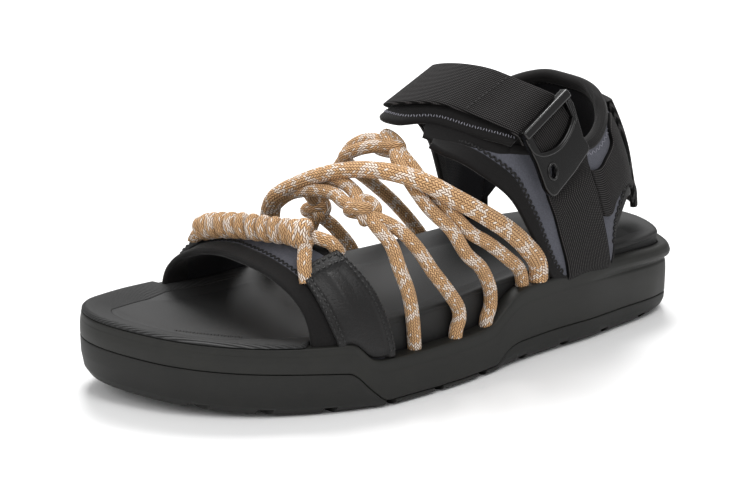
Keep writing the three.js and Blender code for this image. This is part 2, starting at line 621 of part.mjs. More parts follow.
// A place on the vamp strap by its share of the length and its side, lifted off it
function onVamp(share, side, lift) {
  const section = (angle) => arch(share, angle, EDGE + VAMP_INSET);
  let [low, high] = [0, PI];
  for (let k = 0; k < 30; k++) {
    const middle = (low + high) / 2;
    if (section(middle).y > (side * WIDTH) / 2) low = middle;
    else high = middle;
  }
  const here = section(low);
  const beside = section(low + 0.02).sub(here);
  const ahead = arch(share + 0.01, low, EDGE + VAMP_INSET).sub(here);
  return here.addScaledVector(V().crossVectors(beside, ahead).normalize(), lift);
}

// The barrel knot: an arc of turns lying on the vamp strap, with two cord ends at each end of it
const BARREL = [
  { share: 0.768, side: -0.6 },
  { share: 0.76, side: -0.45 },
  { share: 0.746, side: -0.24 },
  { share: 0.729, side: 0 },
  { share: 0.709, side: 0.21 },
  { share: 0.692, side: 0.345 },
];
const ENDS = [
  [{ share: 0.7, side: 0.34, lift: 1.5 }, { share: 0.712, side: 0.43, lift: 1.1 }, { share: 0.721, side: 0.485, lift: 1.3 }],
  [{ share: 0.688, side: 0.35, lift: 1.5 }, { share: 0.68, side: 0.42, lift: 0.6 }, { share: 0.672, side: 0.465, lift: 0.6 }],
  [{ share: 0.772, side: -0.6, lift: 1.5 }, { share: 0.78, side: -0.66, lift: 1.2 }, { share: 0.782, side: -0.67, lift: 2.2 }],
  [{ share: 0.766, side: -0.61, lift: 1.5 }, { share: 0.758, side: -0.66, lift: 1.2 }, { share: 0.753, side: -0.67, lift: 2.2 }],
];
function barrelKnot() {
  const lift = KNOT / 2 + 3 * GAP;
  const path = new THREE.CatmullRomCurve3(BARREL.map(({ share, side }) => onVamp(share, side, lift)), false, "centripetal");
  const steps = 4 * TURNS;
  const sides = 8;
  const rings = [];
  for (let i = 0; i <= steps; i++) {
    const t = i / steps;
    const centre = path.getPoint(t);
    const tangent = path.getTangent(t);
    const side = V(0, 0, 1).cross(tangent).normalize();
    const up = V().crossVectors(tangent, side);
    const swell = 1 - 0.09 * cos(2 * PI * TURNS * t) ** 2;
    const radius = (KNOT / 2) * swell * (0.55 + 0.45 * ramp(0, 0.05, min(t, 1 - t)));
    const spoke = (a) => centre.clone().addScaledVector(side, radius * cos(a)).addScaledVector(up, radius * sin(a));
    rings.push(Array.from({ length: sides }, (v, k) => spoke((2 * PI * k) / sides)));
  }
  let knot = solid(loft(rings));
  for (const end of ENDS) {
    const points = end.map((row) => onVamp(row.share, row.side, CORD / 2 + GAP + row.lift));
    knot = knot.add(solid(tube(points, CORD, CORD, 8, 3)));
  }
  return meshed(knot);
}

// Materials and assembly
const matter = (color, roughness, metalness = 0) => new THREE.MeshStandardMaterial({ color, roughness, metalness });
const RUBBER_BLACK = matter(0x1f1e1c, 0.7);
const FOAM_BLACK = matter(0x242321, 0.75);
const BED_BLACK = matter(0x2a2927, 0.8);
const STRETCH_GREY = matter(0x5b5c66, 0.9);
const LEATHER_BLACK = matter(0x1c1b1a, 0.5);
const NYLON_BLACK = matter(0x232322, 0.85);
const PLASTIC_BLACK = matter(0x101011, 0.25);
const CORD_TAN = matter(0xc79a63, 0.8);

const sandal = new THREE.Group();
function add(name, geometry, material) {
  const mesh = new THREE.Mesh(geometry, material);
  mesh.name = name;
  sandal.add(mesh);
}
add("outsole", outsole(), RUBBER_BLACK);
add("midsole", midsole(), FOAM_BLACK);
add("footbed", footbed(), BED_BLACK);
add("vamp_strap", vampStrap(), STRETCH_GREY);
add("vamp_patch_outer", vampPatch(0, 0.3, 0.28, 1), LEATHER_BLACK);
add("vamp_patch_inner", vampPatch(1, 0.72, 0.28, 1), LEATHER_BLACK);
add("quarter", quarter(), STRETCH_GREY);
add("instep_pad", instepPad(), NYLON_BLACK);
add("instep_webbing", instepWebbing(), NYLON_BLACK);
add("side_webbing_outer", sideWebbing(SIDE, 1), NYLON_BLACK);
add("heel_webbing_outer", sideWebbing(ARM, 1), NYLON_BLACK);
add("heel_tab", heelTab(), NYLON_BLACK);
add("buckle", buckle(), PLASTIC_BLACK);
add("cords", cords(), CORD_TAN);
add("barrel_knot", barrelKnot(), CORD_TAN);

export default sandal;
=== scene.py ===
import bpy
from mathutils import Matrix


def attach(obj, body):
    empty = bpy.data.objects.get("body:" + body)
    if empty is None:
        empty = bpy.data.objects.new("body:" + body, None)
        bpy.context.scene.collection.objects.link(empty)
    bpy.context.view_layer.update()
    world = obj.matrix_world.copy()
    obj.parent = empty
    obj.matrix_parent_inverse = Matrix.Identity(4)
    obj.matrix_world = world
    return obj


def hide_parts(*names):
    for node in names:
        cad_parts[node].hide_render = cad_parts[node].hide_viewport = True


bl_info = {
    "name": "Cord sandal",
    "version": (1, 0, 0),
    "blender": (4, 5, 0),
    "location": "View3D > Sidebar > Sandal",
    "description": "Dresses the left sandal with its straps, knots, seams and finishes",
    "category": "Object",
}

import bmesh
import bpy
import numpy as np
from mathutils import Matrix, Vector

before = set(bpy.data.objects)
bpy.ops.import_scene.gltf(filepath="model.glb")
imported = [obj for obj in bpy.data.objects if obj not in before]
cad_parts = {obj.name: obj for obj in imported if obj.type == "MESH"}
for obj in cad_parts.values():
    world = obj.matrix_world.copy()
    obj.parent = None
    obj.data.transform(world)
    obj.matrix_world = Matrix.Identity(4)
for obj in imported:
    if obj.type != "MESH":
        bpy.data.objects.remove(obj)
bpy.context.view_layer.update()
MM = 0.001
PI = np.pi
MERGE = 2e-6  # points closer than this, in metres, become one

# The shoe's own sizes in millimetres, as in the solids
LENGTH, WIDTH = 292, 112
FORE_RIM, WAIST_RIM, HEEL_RIM, HEEL_SAG = 31.8, 22, 36.5, 3.2
RUBBER_FORE, RUBBER_WAIST, RUBBER_HEEL = 18.8, 3.2, 10.8
TOE_SPRING, TOE_RISE, HEEL_ROCKER = 7.5, 5.5, 2.6
BED_STAND, BED_LIP, ARCH_TOP, DISH, RECESS = 3.8, 1.6, 38.5, 3.5, 7
HEEL_BEAD = 1.8
COLLAR, VAMP_TOP = 110, 62.5
WALL, ROLL, PATCH, SEAM, WEBBING, PAD, PAD_LIP, TAB = 3, 1.6, 1.6, 0.8, 1.8, 3, 8, 3.4
BUCKLE_LONG, BUCKLE_WIDE, BUCKLE_THICK, RAIL = 33, 31, 3.6, 4.2
CORD, THICK_CORD, THICK_FLAT, KNOT, TURNS = 6.4, 9.6, 7.2, 12, 12
GAP, EDGE, ROOT = 0.3, 1.4, 3
SLOT_CORD = CORD + 2
SLOT_STRAP = EDGE + PATCH + WALL + 2 * GAP
VAMP_FACE = EDGE + PATCH + GAP  # how far the vamp strap's face stands in from the outline


def mix(a, b, t):
    return a + (b - a) * t


def ramp(a, b, x):
    t = np.clip((np.asarray(x, float) - a) / (b - a), 0, 1)
    return t * t * (3 - 2 * t)


def unit(v):
    return v / np.maximum(np.linalg.norm(v, axis=-1, keepdims=True), 1e-12)


def run_of(path):
    """How far along a path each of its points lies."""
    return np.concatenate([[0], np.cumsum(np.linalg.norm(np.diff(path, axis=0), axis=-1))])


def column(rows):
    """A smooth curve through rows of place and value."""
    at, value = np.array(rows, float).T
    low, high = np.maximum(np.arange(len(at)) - 1, 0), np.minimum(np.arange(len(at)) + 1, len(at) - 1)
    slope = (value[high] - value[low]) / (at[high] - at[low])

    def curve(x):
        x = np.clip(np.asarray(x, float), at[0], at[-1])
        i = np.clip(np.searchsorted(at, x), 1, len(at) - 1)
        h = at[i] - at[i - 1]
        t = (x - at[i - 1]) / h
        bend = h * t * (1 - t) * ((1 - t) * slope[i - 1] - t * slope[i])
        return mix(value[i - 1], value[i], t * t * (3 - 2 * t)) + bend

    return curve


def through(points):
    """A centripetal curve through points, read by 0 to 1 over their index."""
    p = np.array(points, float)
    p = np.vstack([2 * p[0] - p[1], p, 2 * p[-1] - p[-2]])
    gaps = np.maximum(np.linalg.norm(np.diff(p, axis=0), axis=1) ** 0.5, 1e-4)

    def curve(t):
        place = np.clip(np.asarray(t, float), 0, 1) * (len(p) - 3)
        i = np.minimum(place.astype(int), len(p) - 4)
        w = (place - i)[..., None]
        a, b, c, d = p[i], p[i + 1], p[i + 2], p[i + 3]
        g0, g1, g2 = (gaps[i + k][..., None] for k in range(3))
        m1 = g1 * ((b - a) / g0 - (c - a) / (g0 + g1) + (c - b) / g1)
        m2 = g1 * ((c - b) / g1 - (d - b) / (g1 + g2) + (d - c) / g2)
        return b + m1 * w + (-3 * b + 3 * c - 2 * m1 - m2) * w**2 + (2 * b - 2 * c + m1 + m2) * w**3

    return curve


# The sole's outline and its heights, by share of the length from the heel
OUTLINE = [
    (0, 0.018, 0.018), (0.02, 0.402, -0.348), (0.05, 0.509, -0.518), (0.1, 0.589, -0.666),
    (0.2, 0.679, -0.777),
    (0.3, 0.741, -0.804), (0.4, 0.83, -0.777), (0.5, 0.938, -0.777), (0.6, 0.991, -0.866), (0.65, 1, -0.929),
    (0.7, 0.97, -0.979), (0.8, 0.795, -1), (0.87, 0.589, -0.946), (0.93, 0.321, -0.836), (0.975, 0, -0.696),
    (1, -0.375, -0.375),
]


def turn(share):
    return np.arccos(1 - 2 * np.asarray(share, float))


def share_of(angle):
    return (1 - np.cos(angle)) / 2


edge_rows = [(turn(at), outer) for at, outer, _ in OUTLINE]
edge_rows += [(2 * PI - turn(at), inner) for at, _, inner in OUTLINE[-2::-1]]
side_at = column([(edge_rows[-2][0] - 2 * PI, edge_rows[-2][1]), *edge_rows,
                  (edge_rows[1][0] + 2 * PI, edge_rows[1][1])])


def outline(angle, inset):
    """A point of the outline, moved inwards by the inset."""
    place = lambda a: np.stack([-LENGTH / 2 * np.cos(a), side_at(a) * WIDTH / 2], -1)
    here = place(angle)
    run = unit(place(np.minimum(angle + 1e-3, 2 * PI)) - place(np.maximum(angle - 1e-3, 0)))
    inset = np.asarray(inset, float) + 0 * here[..., 0]
    return here + np.stack([run[..., 1], -run[..., 0]], -1) * inset[..., None]


rim_table = column([
    (0, HEEL_RIM - HEEL_SAG), (0.16, HEEL_RIM), (0.33, HEEL_RIM - 0.6),
    (0.37, mix(WAIST_RIM, HEEL_RIM, 0.86)),
    (0.4, mix(WAIST_RIM, HEEL_RIM, 0.45)), (0.43, WAIST_RIM + 0.8), (0.5, WAIST_RIM), (0.63, WAIST_RIM),
    (0.66, mix(WAIST_RIM, FORE_RIM, 0.16)), (0.688, mix(WAIST_RIM, FORE_RIM, 0.92)), (0.72, FORE_RIM),
    (1, FORE_RIM),
])
rubber_table = column([
    (0, RUBBER_HEEL - HEEL_SAG / 2), (0.16, RUBBER_HEEL), (0.37, RUBBER_HEEL),
    (0.4, mix(RUBBER_WAIST, RUBBER_HEEL, 0.6)), (0.42, RUBBER_WAIST), (0.635, RUBBER_WAIST),
    (0.66, mix(RUBBER_WAIST, RUBBER_FORE, 0.35)), (0.7, RUBBER_FORE), (1, RUBBER_FORE),
])
bed_table = column([
    (0, HEEL_RIM + BED_STAND), (0.3, HEEL_RIM + BED_STAND), (0.5, ARCH_TOP), (0.68, FORE_RIM + BED_STAND),
    (0.76, FORE_RIM + BED_LIP), (1, FORE_RIM + BED_LIP),
])
toe_lift = lambda s: np.maximum(0, (s - 0.7) / 0.3) ** 2
underside = lambda s: TOE_SPRING * toe_lift(s) + HEEL_ROCKER * np.maximum(0, (0.12 - s) / 0.12) ** 2
rim_height = lambda s: rim_table(s) + TOE_RISE * toe_lift(s)
rubber_height = lambda s: np.maximum(rubber_table(s) + TOE_SPRING * toe_lift(s), underside(s) + RUBBER_WAIST)
bed_height = lambda s: bed_table(s) + TOE_RISE * toe_lift(s)
heel = lambda s: ramp(0.24, 0.12, s)
waist = lambda s: ramp(0.29, 0.315, s) * ramp(0.67, 0.64, s)
slot = lambda s: mix(SLOT_STRAP, SLOT_CORD, waist(s)) - (SLOT_STRAP - 2) * ramp(0.83, 0.88, s)


def at(share, side, up):
    return np.array([(share - 0.5) * LENGTH, side * WIDTH / 2, up * COLLAR], float)


def seat_at(share, side, inset=EDGE):
    share = np.asarray(share, float)
    angle = turn(share) if side > 0 else 2 * PI - turn(share)
    return np.concatenate([outline(angle, inset), (rim_height(share) - ROOT)[..., None]], -1)


# Surfaces of the upper: each takes arrays of two shares and gives points in millimetres
crest = column([(0.52, 1.36), (0.6, 1.29), (0.68, 1.155), (0.747, 1.03), (0.79, 0.944), (0.85, 0.85)])
FULLNESS = 2.3
vamp_front = column([(0, 0.748), (0.16, 0.752), (0.3, 0.763), (0.5, 0.782), (0.7, 0.802), (0.84, 0.812),
                     (1, 0.816)])
vamp_back = column([(0, 0.617), (0.16, 0.64), (0.3, 0.668), (0.5, 0.7), (0.7, 0.702), (0.84, 0.69),
                    (1, 0.642)])


def arch(share, angle, inset):
    outer, inner = seat_at(share, 1, inset), seat_at(share, -1, inset)
    middle = mix(outer[..., 1], inner[..., 1], 0.56)
    c, s = np.cos(angle), np.sin(np.clip(angle, 0, PI))
    reach = np.where(c > 0, outer[..., 1] - middle, middle - inner[..., 1])
    swell = lambda v: np.sign(v) * np.abs(v) ** (2 / FULLNESS)
    top = crest(share) * VAMP_TOP - (inset - EDGE)
    return np.stack([mix(-LENGTH / 2, LENGTH / 2, share), middle + reach * swell(c),
                     mix(outer[..., 2], top, swell(s))], -1)


def vamp_face(t, w, inset=VAMP_FACE):
    return arch(mix(vamp_front(t), vamp_back(t), w), PI * t, inset)


QUARTER = [
    (at(0.478, 0.19, 0.945), at(0.492, 0.28, 0.963)), (at(0.452, 0.28, 0.94), at(0.476, 0.4, 0.918)),
    (at(0.42, 0.39, 0.93), at(0.449, 0.5, 0.876)), (at(0.382, 0.48, 0.915), at(0.413, 0.589, 0.8)),
    (at(0.342, 0.55, 0.9), at(0.373, 0.643, 0.7)), (at(0.308, 0.58, 0.886), at(0.338, 0.695, 0.53)),
    (at(0.281, 0.589, 0.88), seat_at(0.287, 1)), (at(0.25, 0.585, 0.875), seat_at(0.229, 1)),
    (at(0.219, 0.554, 0.868), seat_at(0.175, 1)), (at(0.192, 0.49, 0.885), at(0.168, 0.63, 0.455)),
    (at(0.165, 0.375, 0.93), at(0.132, 0.52, 0.575)), (at(0.147, 0.22, 0.98), at(0.098, 0.33, 0.55)),
    (at(0.136, -0.03, 1.01), at(0.073, -0.03, 0.53)), (at(0.147, -0.27, 1.02), at(0.098, -0.39, 0.55)),
    (at(0.165, -0.43, 1.025), at(0.15, -0.58, 0.57)), (at(0.192, -0.535, 1.01), at(0.208, -0.68, 0.535)),
    (at(0.219, -0.6, 0.985), at(0.235, -0.72, 0.44)), (at(0.238, -0.62, 0.965), seat_at(0.228, -1)),
    (at(0.258, -0.625, 0.945), seat_at(0.258, -1)), (at(0.281, -0.625, 0.925), seat_at(0.29, -1)),
    (at(0.301, -0.607, 0.92), at(0.33, -0.7, 0.53)), (at(0.318, -0.589, 0.925), at(0.363, -0.6, 0.727)),
    (at(0.342, -0.554, 0.945), at(0.397, -0.464, 0.873)),
]
collar_line, low_line = through([row[0] for row in QUARTER]), through([row[1] for row in QUARTER])


def quarter_face(u, v):
    top, low = collar_line(u), low_line(u)
    point = mix(top, low, np.asarray(v, float)[..., None])
    out = unit(np.stack([point[..., 0] + 0.25 * LENGTH, 1.6 * point[..., 1], 0 * point[..., 0]], -1))
    swell = 0.05 * np.linalg.norm(top - low, axis=-1) * np.sin(PI * np.clip(v, 0, 1))
    return point + out * swell[..., None]


def normals(face, u, v, centre):
    """Outward normals of a surface; centre is a point inside it."""
    step = 2e-3
    across = face(u, np.minimum(v + step, 1)) - face(u, np.maximum(v - step, 0))
    run = face(np.minimum(u + step, 1), v) - face(np.maximum(u - step, 0), v)
    n = unit(np.cross(run, across))
    facing = np.sum(n * (face(u, v) - np.array(centre, float)), -1)
    return n if np.median(facing) > 0 else -n


HEEL_CENTRE = (-72, 0, 70)
FORE_CENTRE = (60, -3, 25)


def quarter_place(target, start=0.0, end=1.0):
    """The shares of the quarter's surface that lie nearest to a point."""
    u0, u1, v0, v1 = start, end, 0.0, 1.0
    best = (0, 0, 1e9)
    for _ in range(6):
        u, v = np.meshgrid(np.linspace(u0, u1, 17), np.linspace(v0, v1, 9), indexing="ij")
        far = np.linalg.norm(quarter_face(u, v) - target, axis=-1)
        k = np.unravel_index(far.argmin(), far.shape)
        if far[k] < best[2]:
            best = (u[k], v[k], far[k])
        du, dv = (u1 - u0) / 8, (v1 - v0) / 4
        u0, u1 = max(start, best[0] - du), min(end, best[0] + du)
        v0, v1 = max(0, best[1] - dv), min(1, best[1] + dv)
    return best[:2]


def band_on_quarter(front, back):
    """A surface laid on the quarter between two edges."""
    a, b = (through([(*place, 0) for place in edge]) for edge in (front, back))

    def face(u, v):
        place = mix(a(u), b(u), np.asarray(v, float)[..., None])
        return quarter_face(place[..., 0], place[..., 1])

    return face


INSTEP = [
    (at(0.322, -0.72, 0.55), at(0.248, -0.7, 0.57), 0), (at(0.349, -0.65, 0.7), at(0.262, -0.68, 0.78), 0),
    (at(0.414, -0.575, 0.885), at(0.319, -0.645, 0.98), 0),
    (at(0.468, -0.43, 0.98), at(0.372, -0.51, 1.1), 0.2),
    (at(0.5, -0.22, 1.035), at(0.397, -0.28, 1.16), 0.5),
    (at(0.482, 0.01, 1.066), at(0.385, -0.02, 1.19), 1),
    (at(0.446, 0.19, 1.066), at(0.356, 0.18, 1.182), 0.9),
    (at(0.408, 0.385, 1.025), at(0.322, 0.37, 1.14), 0.8),
    (at(0.38, 0.54, 0.99), at(0.295, 0.51, 1.105), 0.6),
    (at(0.363, 0.62, 0.955), at(0.277, 0.535, 1.075), 0.3),
    (at(0.352, 0.63, 0.91), at(0.266, 0.555, 1.03), 0),
]
SEWN = 0.16  # share of the strap that is sewn to the inner quarter
PAD_START = 2


def net(rows):
    """A surface through a grid of points: smooth along the rows, a cubic over each row's four points."""
    lines = [through(line) for line in np.array(rows).transpose(1, 0, 2)]

    def face(u, v):
        v = np.asarray(v, float)[..., None] * 3
        weights = (-(v - 1) * (v - 2) * (v - 3) / 6, v * (v - 2) * (v - 3) / 2,
                   -v * (v - 1) * (v - 3) / 2, v * (v - 1) * (v - 2) / 6)
        return sum(w * line(u) for w, line in zip(weights, lines))

    return face


def laid_on_quarter(target, lift, start, end):
    a, b = (np.array([share]) for share in quarter_place(target, start, end))
    n = normals(quarter_face, a, b, HEEL_CENTRE)[0]
    return quarter_face(a, b)[0] + n * lift


def instep_net():
    front, back = through([row[0] for row in INSTEP]), through([row[1] for row in INSTEP])
    rows = []
    for u in np.linspace(0, 1, 27):
        row = [mix(back(u), front(u), v) for v in np.linspace(0, 1, 4)]
        if u < 1.6 * SEWN:
            blend = ramp(SEWN, 1.6 * SEWN, u)
            row = [mix(laid_on_quarter(p, WEBBING + 2 * GAP + 0.3, 0.7, 1), p, blend) for p in row]
        rows.append(row)
    return net(rows)


instep_face = instep_net()
TAB_ROWS = [(0.136, 0.22, 0.945), (0.108, 0.25, 0.79), (0.08, 0.27, 0.64), (0.066, 0.25, 0.455)]
TAB_BOW = 8


def tab_net():
    outer = through([at(x, half - 0.03, up) for x, half, up in TAB_ROWS])
    inner = through([at(x, -half - 0.03, up) for x, half, up in TAB_ROWS])
    rows = []
    for u in np.linspace(0, 1, 9):
        row = []
        for v in np.linspace(0, 1, 4):
            target = mix(inner(u), outer(u), v)
            target[0] -= TAB_BOW * np.sin(PI * v)
            row.append(mix(laid_on_quarter(target, TAB + 3 * GAP, 0.42, 0.7), target, ramp(0.7, 0.85, u)))
        rows.append(row)
    return net(rows)


tab_face = tab_net()
INSTEP_CENTRE = (-15, -5, 55)


def pad_rows():
    """The pad's front and back edges: under the strap from its third row on, with a lip in front."""
    rows = []
    for front, back, lip in INSTEP[PAD_START:-1]:
        if not rows:
            front, back = (mix(a, b, 0.4) for a, b in zip((front, back), INSTEP[PAD_START + 1]))
        way = unit(front - back)
        out = unit(np.array([0, front[1], 55.0]))
        rows.append((front - out * (WEBBING + 4.5 * GAP + 1.5 * lip) + way * PAD_LIP * lip,
                     back - out * (WEBBING + 4 * GAP) + way))
    return rows


pad_front, pad_back = (through(edge) for edge in zip(*pad_rows()))
pad_face = lambda u, v: mix(pad_back(u), pad_front(u), np.asarray(v, float)[..., None])


# Mesh making
def put(name, data):
    """An object in the scene that holds the given data."""
    thing = bpy.data.objects.new(name, data)
    bpy.context.scene.collection.objects.link(thing)
    return thing


def finished_mesh(thing):
    """The mesh that an object's curves or modifiers come to."""
    return bpy.data.meshes.new_from_object(thing.evaluated_get(bpy.context.evaluated_depsgraph_get()))


def smooth(mesh):
    mesh.polygons.foreach_set("use_smooth", [True] * len(mesh.polygons))


def make(name, points, faces, marks, finishes, face_finish=None, node=None, slot=None):
    """A finished piece from points in millimetres; marks hold each face corner's place for its finish."""
    mesh = bpy.data.meshes.new(name)
    mesh.from_pydata((points * MM).tolist(), [], faces)
    layer = mesh.attributes.new("place", "FLOAT_VECTOR", "CORNER")
    layer.data.foreach_set("vector", np.asarray(marks, np.float32).ravel())
    for finish in [finishes] if isinstance(finishes, str) else finishes:
        mesh.materials.append(bpy.data.materials[finish])
    if face_finish is not None:
        mesh.polygons.foreach_set("material_index", np.asarray(face_finish, np.int32))
    smooth(mesh)
    work = bmesh.new()
    work.from_mesh(mesh)
    bmesh.ops.remove_doubles(work, verts=work.verts, dist=MERGE)
    bmesh.ops.dissolve_degenerate(work, dist=1e-7, edges=work.edges)
    bmesh.ops.recalc_face_normals(work, faces=work.faces)
    work.to_mesh(mesh)
    work.free()
    return settle(put(name, mesh), node)


def settle(piece, node=None):
    """Lets a piece ride on the shoe and stand for its node."""
    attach(piece, "root")
    if node:
        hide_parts(node)
    return piece


def loops(rings, marks):
    """Points, faces and corner marks of closed rings of equal count, with ladder caps at the ends."""
    count, n = rings.shape[:2]
    k, i = np.meshgrid(np.arange(count - 1), np.arange(n), indexing="ij")
    j = (i + 1) % n
    faces = np.stack([k * n + i, k * n + j, (k + 1) * n + j, (k + 1) * n + i], -1).reshape(-1, 4).tolist()
    corner = np.stack([marks[k, i], marks[k, i + 1], marks[k + 1, i + 1], marks[k + 1, i]], -2)
    corner = corner.reshape(-1, 3).tolist()
    for row in (0, count - 1):
        for a in range(n // 2):
            face = list(dict.fromkeys((a, a + 1, n - a - 1, (n - a) % n)))
            faces.append([row * n + p for p in face])
            corner += [marks[row, p].tolist() for p in face]
    return rings.reshape(-1, 3), faces, corner


def strap(name, face, finishes, low, high, centre, rows=60, cols=14, start=0.0, end=1.0, near=0.0, far=1.0,
          edge=0.8, lined=False, **how):
    """A closed strap on a surface, between two heights over it, with rounded edges; returns the piece."""
    u = np.linspace(start, end, rows + 1)
    near, far = (side(u) if callable(side) else side + 0 * u for side in (near, far))
    lo, hi = np.clip(near, 0, 1), np.clip(far, 0, 1)
    width = np.linalg.norm(face(u, hi) - face(u, lo), axis=-1)
    length = run_of(face(u, (lo + hi) / 2))

    # One ring of the strap: round its near edge, over its face, round its far edge and back below
    turn_in = np.minimum(edge / np.maximum(width, 1e-6), 0.3)
    swing, flat = np.linspace(-PI / 2, PI / 2, 5), np.linspace(0, 1, cols + 1)[1:-1]
    shares = [turn_in * (1 - np.cos(a)) for a in swing]
    shares += [mix(turn_in, 1 - turn_in, q) for q in flat]
    shares += [1 - turn_in * (1 - np.cos(a)) for a in -swing]
    shares += [mix(turn_in, 1 - turn_in, q) for q in flat[::-1]]
    heights = np.concatenate([np.sin(swing), 1 + 0 * flat, np.sin(-swing), -1 + 0 * flat])
    share = np.roll(np.stack(shares, 1), -2, 1)
    height = np.roll(np.tile(heights, (len(u), 1)), -2, 1)

    U, V = u[:, None] + 0 * share, mix(near[:, None], far[:, None], share)
    bottom, top = (side(U, V) if callable(side) else side + 0 * U for side in (low, high))
    lift = mix(bottom, top, (height + 1) / 2).ravel()[:, None]
    inside = np.clip(V, 0, 1)
    beyond = (V - inside).ravel()[:, None]
    flat_u, flat_v = U.ravel(), inside.ravel()
    ahead, back = np.minimum(flat_v + 4e-3, 1), np.maximum(flat_v - 4e-3, 0)
    across = (face(flat_u, ahead) - face(flat_u, back)) / (ahead - back)[:, None]
    place = face(flat_u, flat_v) + across * beyond + normals(face, flat_u, flat_v, centre) * lift
    mark = np.stack([length[:, None] + 0 * share, share * width[:, None], height], -1)
    mark = np.concatenate([mark, mark[:, :1]], 1)
    points, faces, corner = loops(place.reshape(*U.shape, 3), mark)
    face_finish = None
    if lined:
        inward = (height[:-1] + np.roll(height, -1, 1)[:-1]).ravel() < -0.2
        face_finish = np.concatenate([inward, np.zeros(len(faces) - inward.size, bool)])
    return make(name, points, faces, corner, finishes, face_finish, **how)


def stitch_line(face, u, v, centre, spacing, lift=0.0):
    """Places, ways and normals of stitches along a line on a surface."""
    fine = np.linspace(0, 1, 600)
    uu, vv = (np.interp(fine, np.linspace(0, 1, len(line)), line) for line in (u, v))
    path = face(uu, np.clip(vv, 0, 1))
    run = run_of(path)
    count = max(2, int(run[-1] / spacing))
    stops = (np.arange(count) + 0.5) * run[-1] / count
    us, vs = np.interp(stops, run, uu), np.clip(np.interp(stops, run, vv), 0, 1)
    n = normals(face, us, vs, centre)
    ahead, back = (np.stack([np.interp(stops + step, run, axis) for axis in path.T], -1)
                   for step in (0.4, -0.4))
    return face(us, vs) + n * lift, unit(ahead - back), n


def stitch_tree():
    """The stitch row: a short thread at each point, laid along the seam, swung to and fro for a zigzag."""
    tree = bpy.data.node_groups.new("Stitch row", "GeometryNodeTree")
    kinds = {"Geometry": "Geometry", "Length": "Float", "Thickness": "Float", "Swing": "Float",
             "Thread": "Material"}
    for label, kind in kinds.items():
        tree.interface.new_socket(label, in_out="INPUT", socket_type="NodeSocket" + kind)
    tree.interface.new_socket("Geometry", in_out="OUTPUT", socket_type="NodeSocketGeometry")

    def node(kind, inputs, **settings):
        """A new node's outputs; its settings are set first, then its sockets' values or links."""
        new = tree.nodes.new(kind)
        for label, value in settings.items():
            setattr(new, label, value)
        for label, value in inputs.items():
            if isinstance(value, bpy.types.NodeSocket):
                tree.links.new(value, new.inputs[label])
            else:
                new.inputs[label].default_value = value
        return new.outputs

    given = node("NodeGroupInput", {})
    way, out = (node("GeometryNodeInputNamedAttribute", {"Name": name},
                     data_type="FLOAT_VECTOR")["Attribute"]
                for name in ("way", "out"))
    bead = node("GeometryNodeMeshUVSphere", {"Segments": 6, "Rings": 4, "Radius": 0.5})["Mesh"]
    sides = {"X": given["Length"], "Y": given["Thickness"], "Z": given["Thickness"]}
    size = node("ShaderNodeCombineXYZ", sides)["Vector"]
    shape = node("GeometryNodeTransform", {"Geometry": bead, "Scale": size})["Geometry"]
    align = "FunctionNodeAlignRotationToVector"
    along = node(align, {"Vector": way}, axis="X")["Rotation"]
    over = node(align, {"Rotation": along, "Vector": out}, axis="Z", pivot_axis="X")["Rotation"]
    index = node("GeometryNodeInputIndex", {})["Index"]
    odd = node("ShaderNodeMath", {0: index, 1: 2}, operation="MODULO")[0]
    sign = node("ShaderNodeMath", {0: odd, 1: 2, 2: -1}, operation="MULTIPLY_ADD")[0]
    angle = node("ShaderNodeMath", {0: sign, 1: given["Swing"]}, operation="MULTIPLY")[0]
    swing = node("FunctionNodeAxisAngleToRotation", {"Axis": (0, 0, 1), "Angle": angle})["Rotation"]
    turned = {"Rotation": over, "Rotate By": swing}
    turned = node("FunctionNodeRotateRotation", turned, rotation_space="LOCAL")["Rotation"]
    row = {"Points": given["Geometry"], "Instance": shape, "Rotation": turned}
    row = node("GeometryNodeInstanceOnPoints", row)["Instances"]
    real = node("GeometryNodeRealizeInstances", {"Geometry": row})["Geometry"]
    dyed = node("GeometryNodeSetMaterial", {"Geometry": real, "Material": given["Thread"]})["Geometry"]
    node("NodeGroupOutput", {"Geometry": dyed})
    return tree


def stitches(name, lines, length, thickness, swing=0.0, thread="Thread"):
    """One piece holding all the stitches of the given lines."""
    points, ways, outs = (np.concatenate(part) for part in zip(*lines))
    mesh = bpy.data.meshes.new(name)
    mesh.from_pydata((points * MM).tolist(), [], [])
    for label, data in (("way", ways), ("out", outs)):
        layer = mesh.attributes.new(label, "FLOAT_VECTOR", "POINT")
        layer.data.foreach_set("vector", data.astype(np.float32).ravel())
    seam = put(name + "_line", mesh)
    tree = bpy.data.node_groups.get("Stitch row") or stitch_tree()
    row = seam.modifiers.new("Stitches", "NODES")
    row.node_group = tree
    finish = bpy.data.materials[thread]
    wanted = {"Length": length * MM, "Thickness": thickness * MM, "Swing": swing, "Thread": finish}
    for item in tree.interface.items_tree:
        if item.in_out == "INPUT" and item.name in wanted:
            row[item.identifier] = wanted[item.name]
    done = finished_mesh(seam)
    done.name = name
    for label in ("way", "out"):
        if label in done.attributes:
            done.attributes.remove(done.attributes[label])
    bpy.data.objects.remove(seam)
    smooth(done)
    return settle(put(name, done))


def spaced(points, step):
    """A smooth run of evenly spaced points through the given ones."""
    fine = through(points)(np.linspace(0, 1, 60 * len(points)))
    run = run_of(fine)
    stops = np.linspace(0, run[-1], max(4, int(run[-1] / step)) + 1)
    return np.stack([np.interp(stops, run, fine[:, k]) for k in range(3)], -1), stops


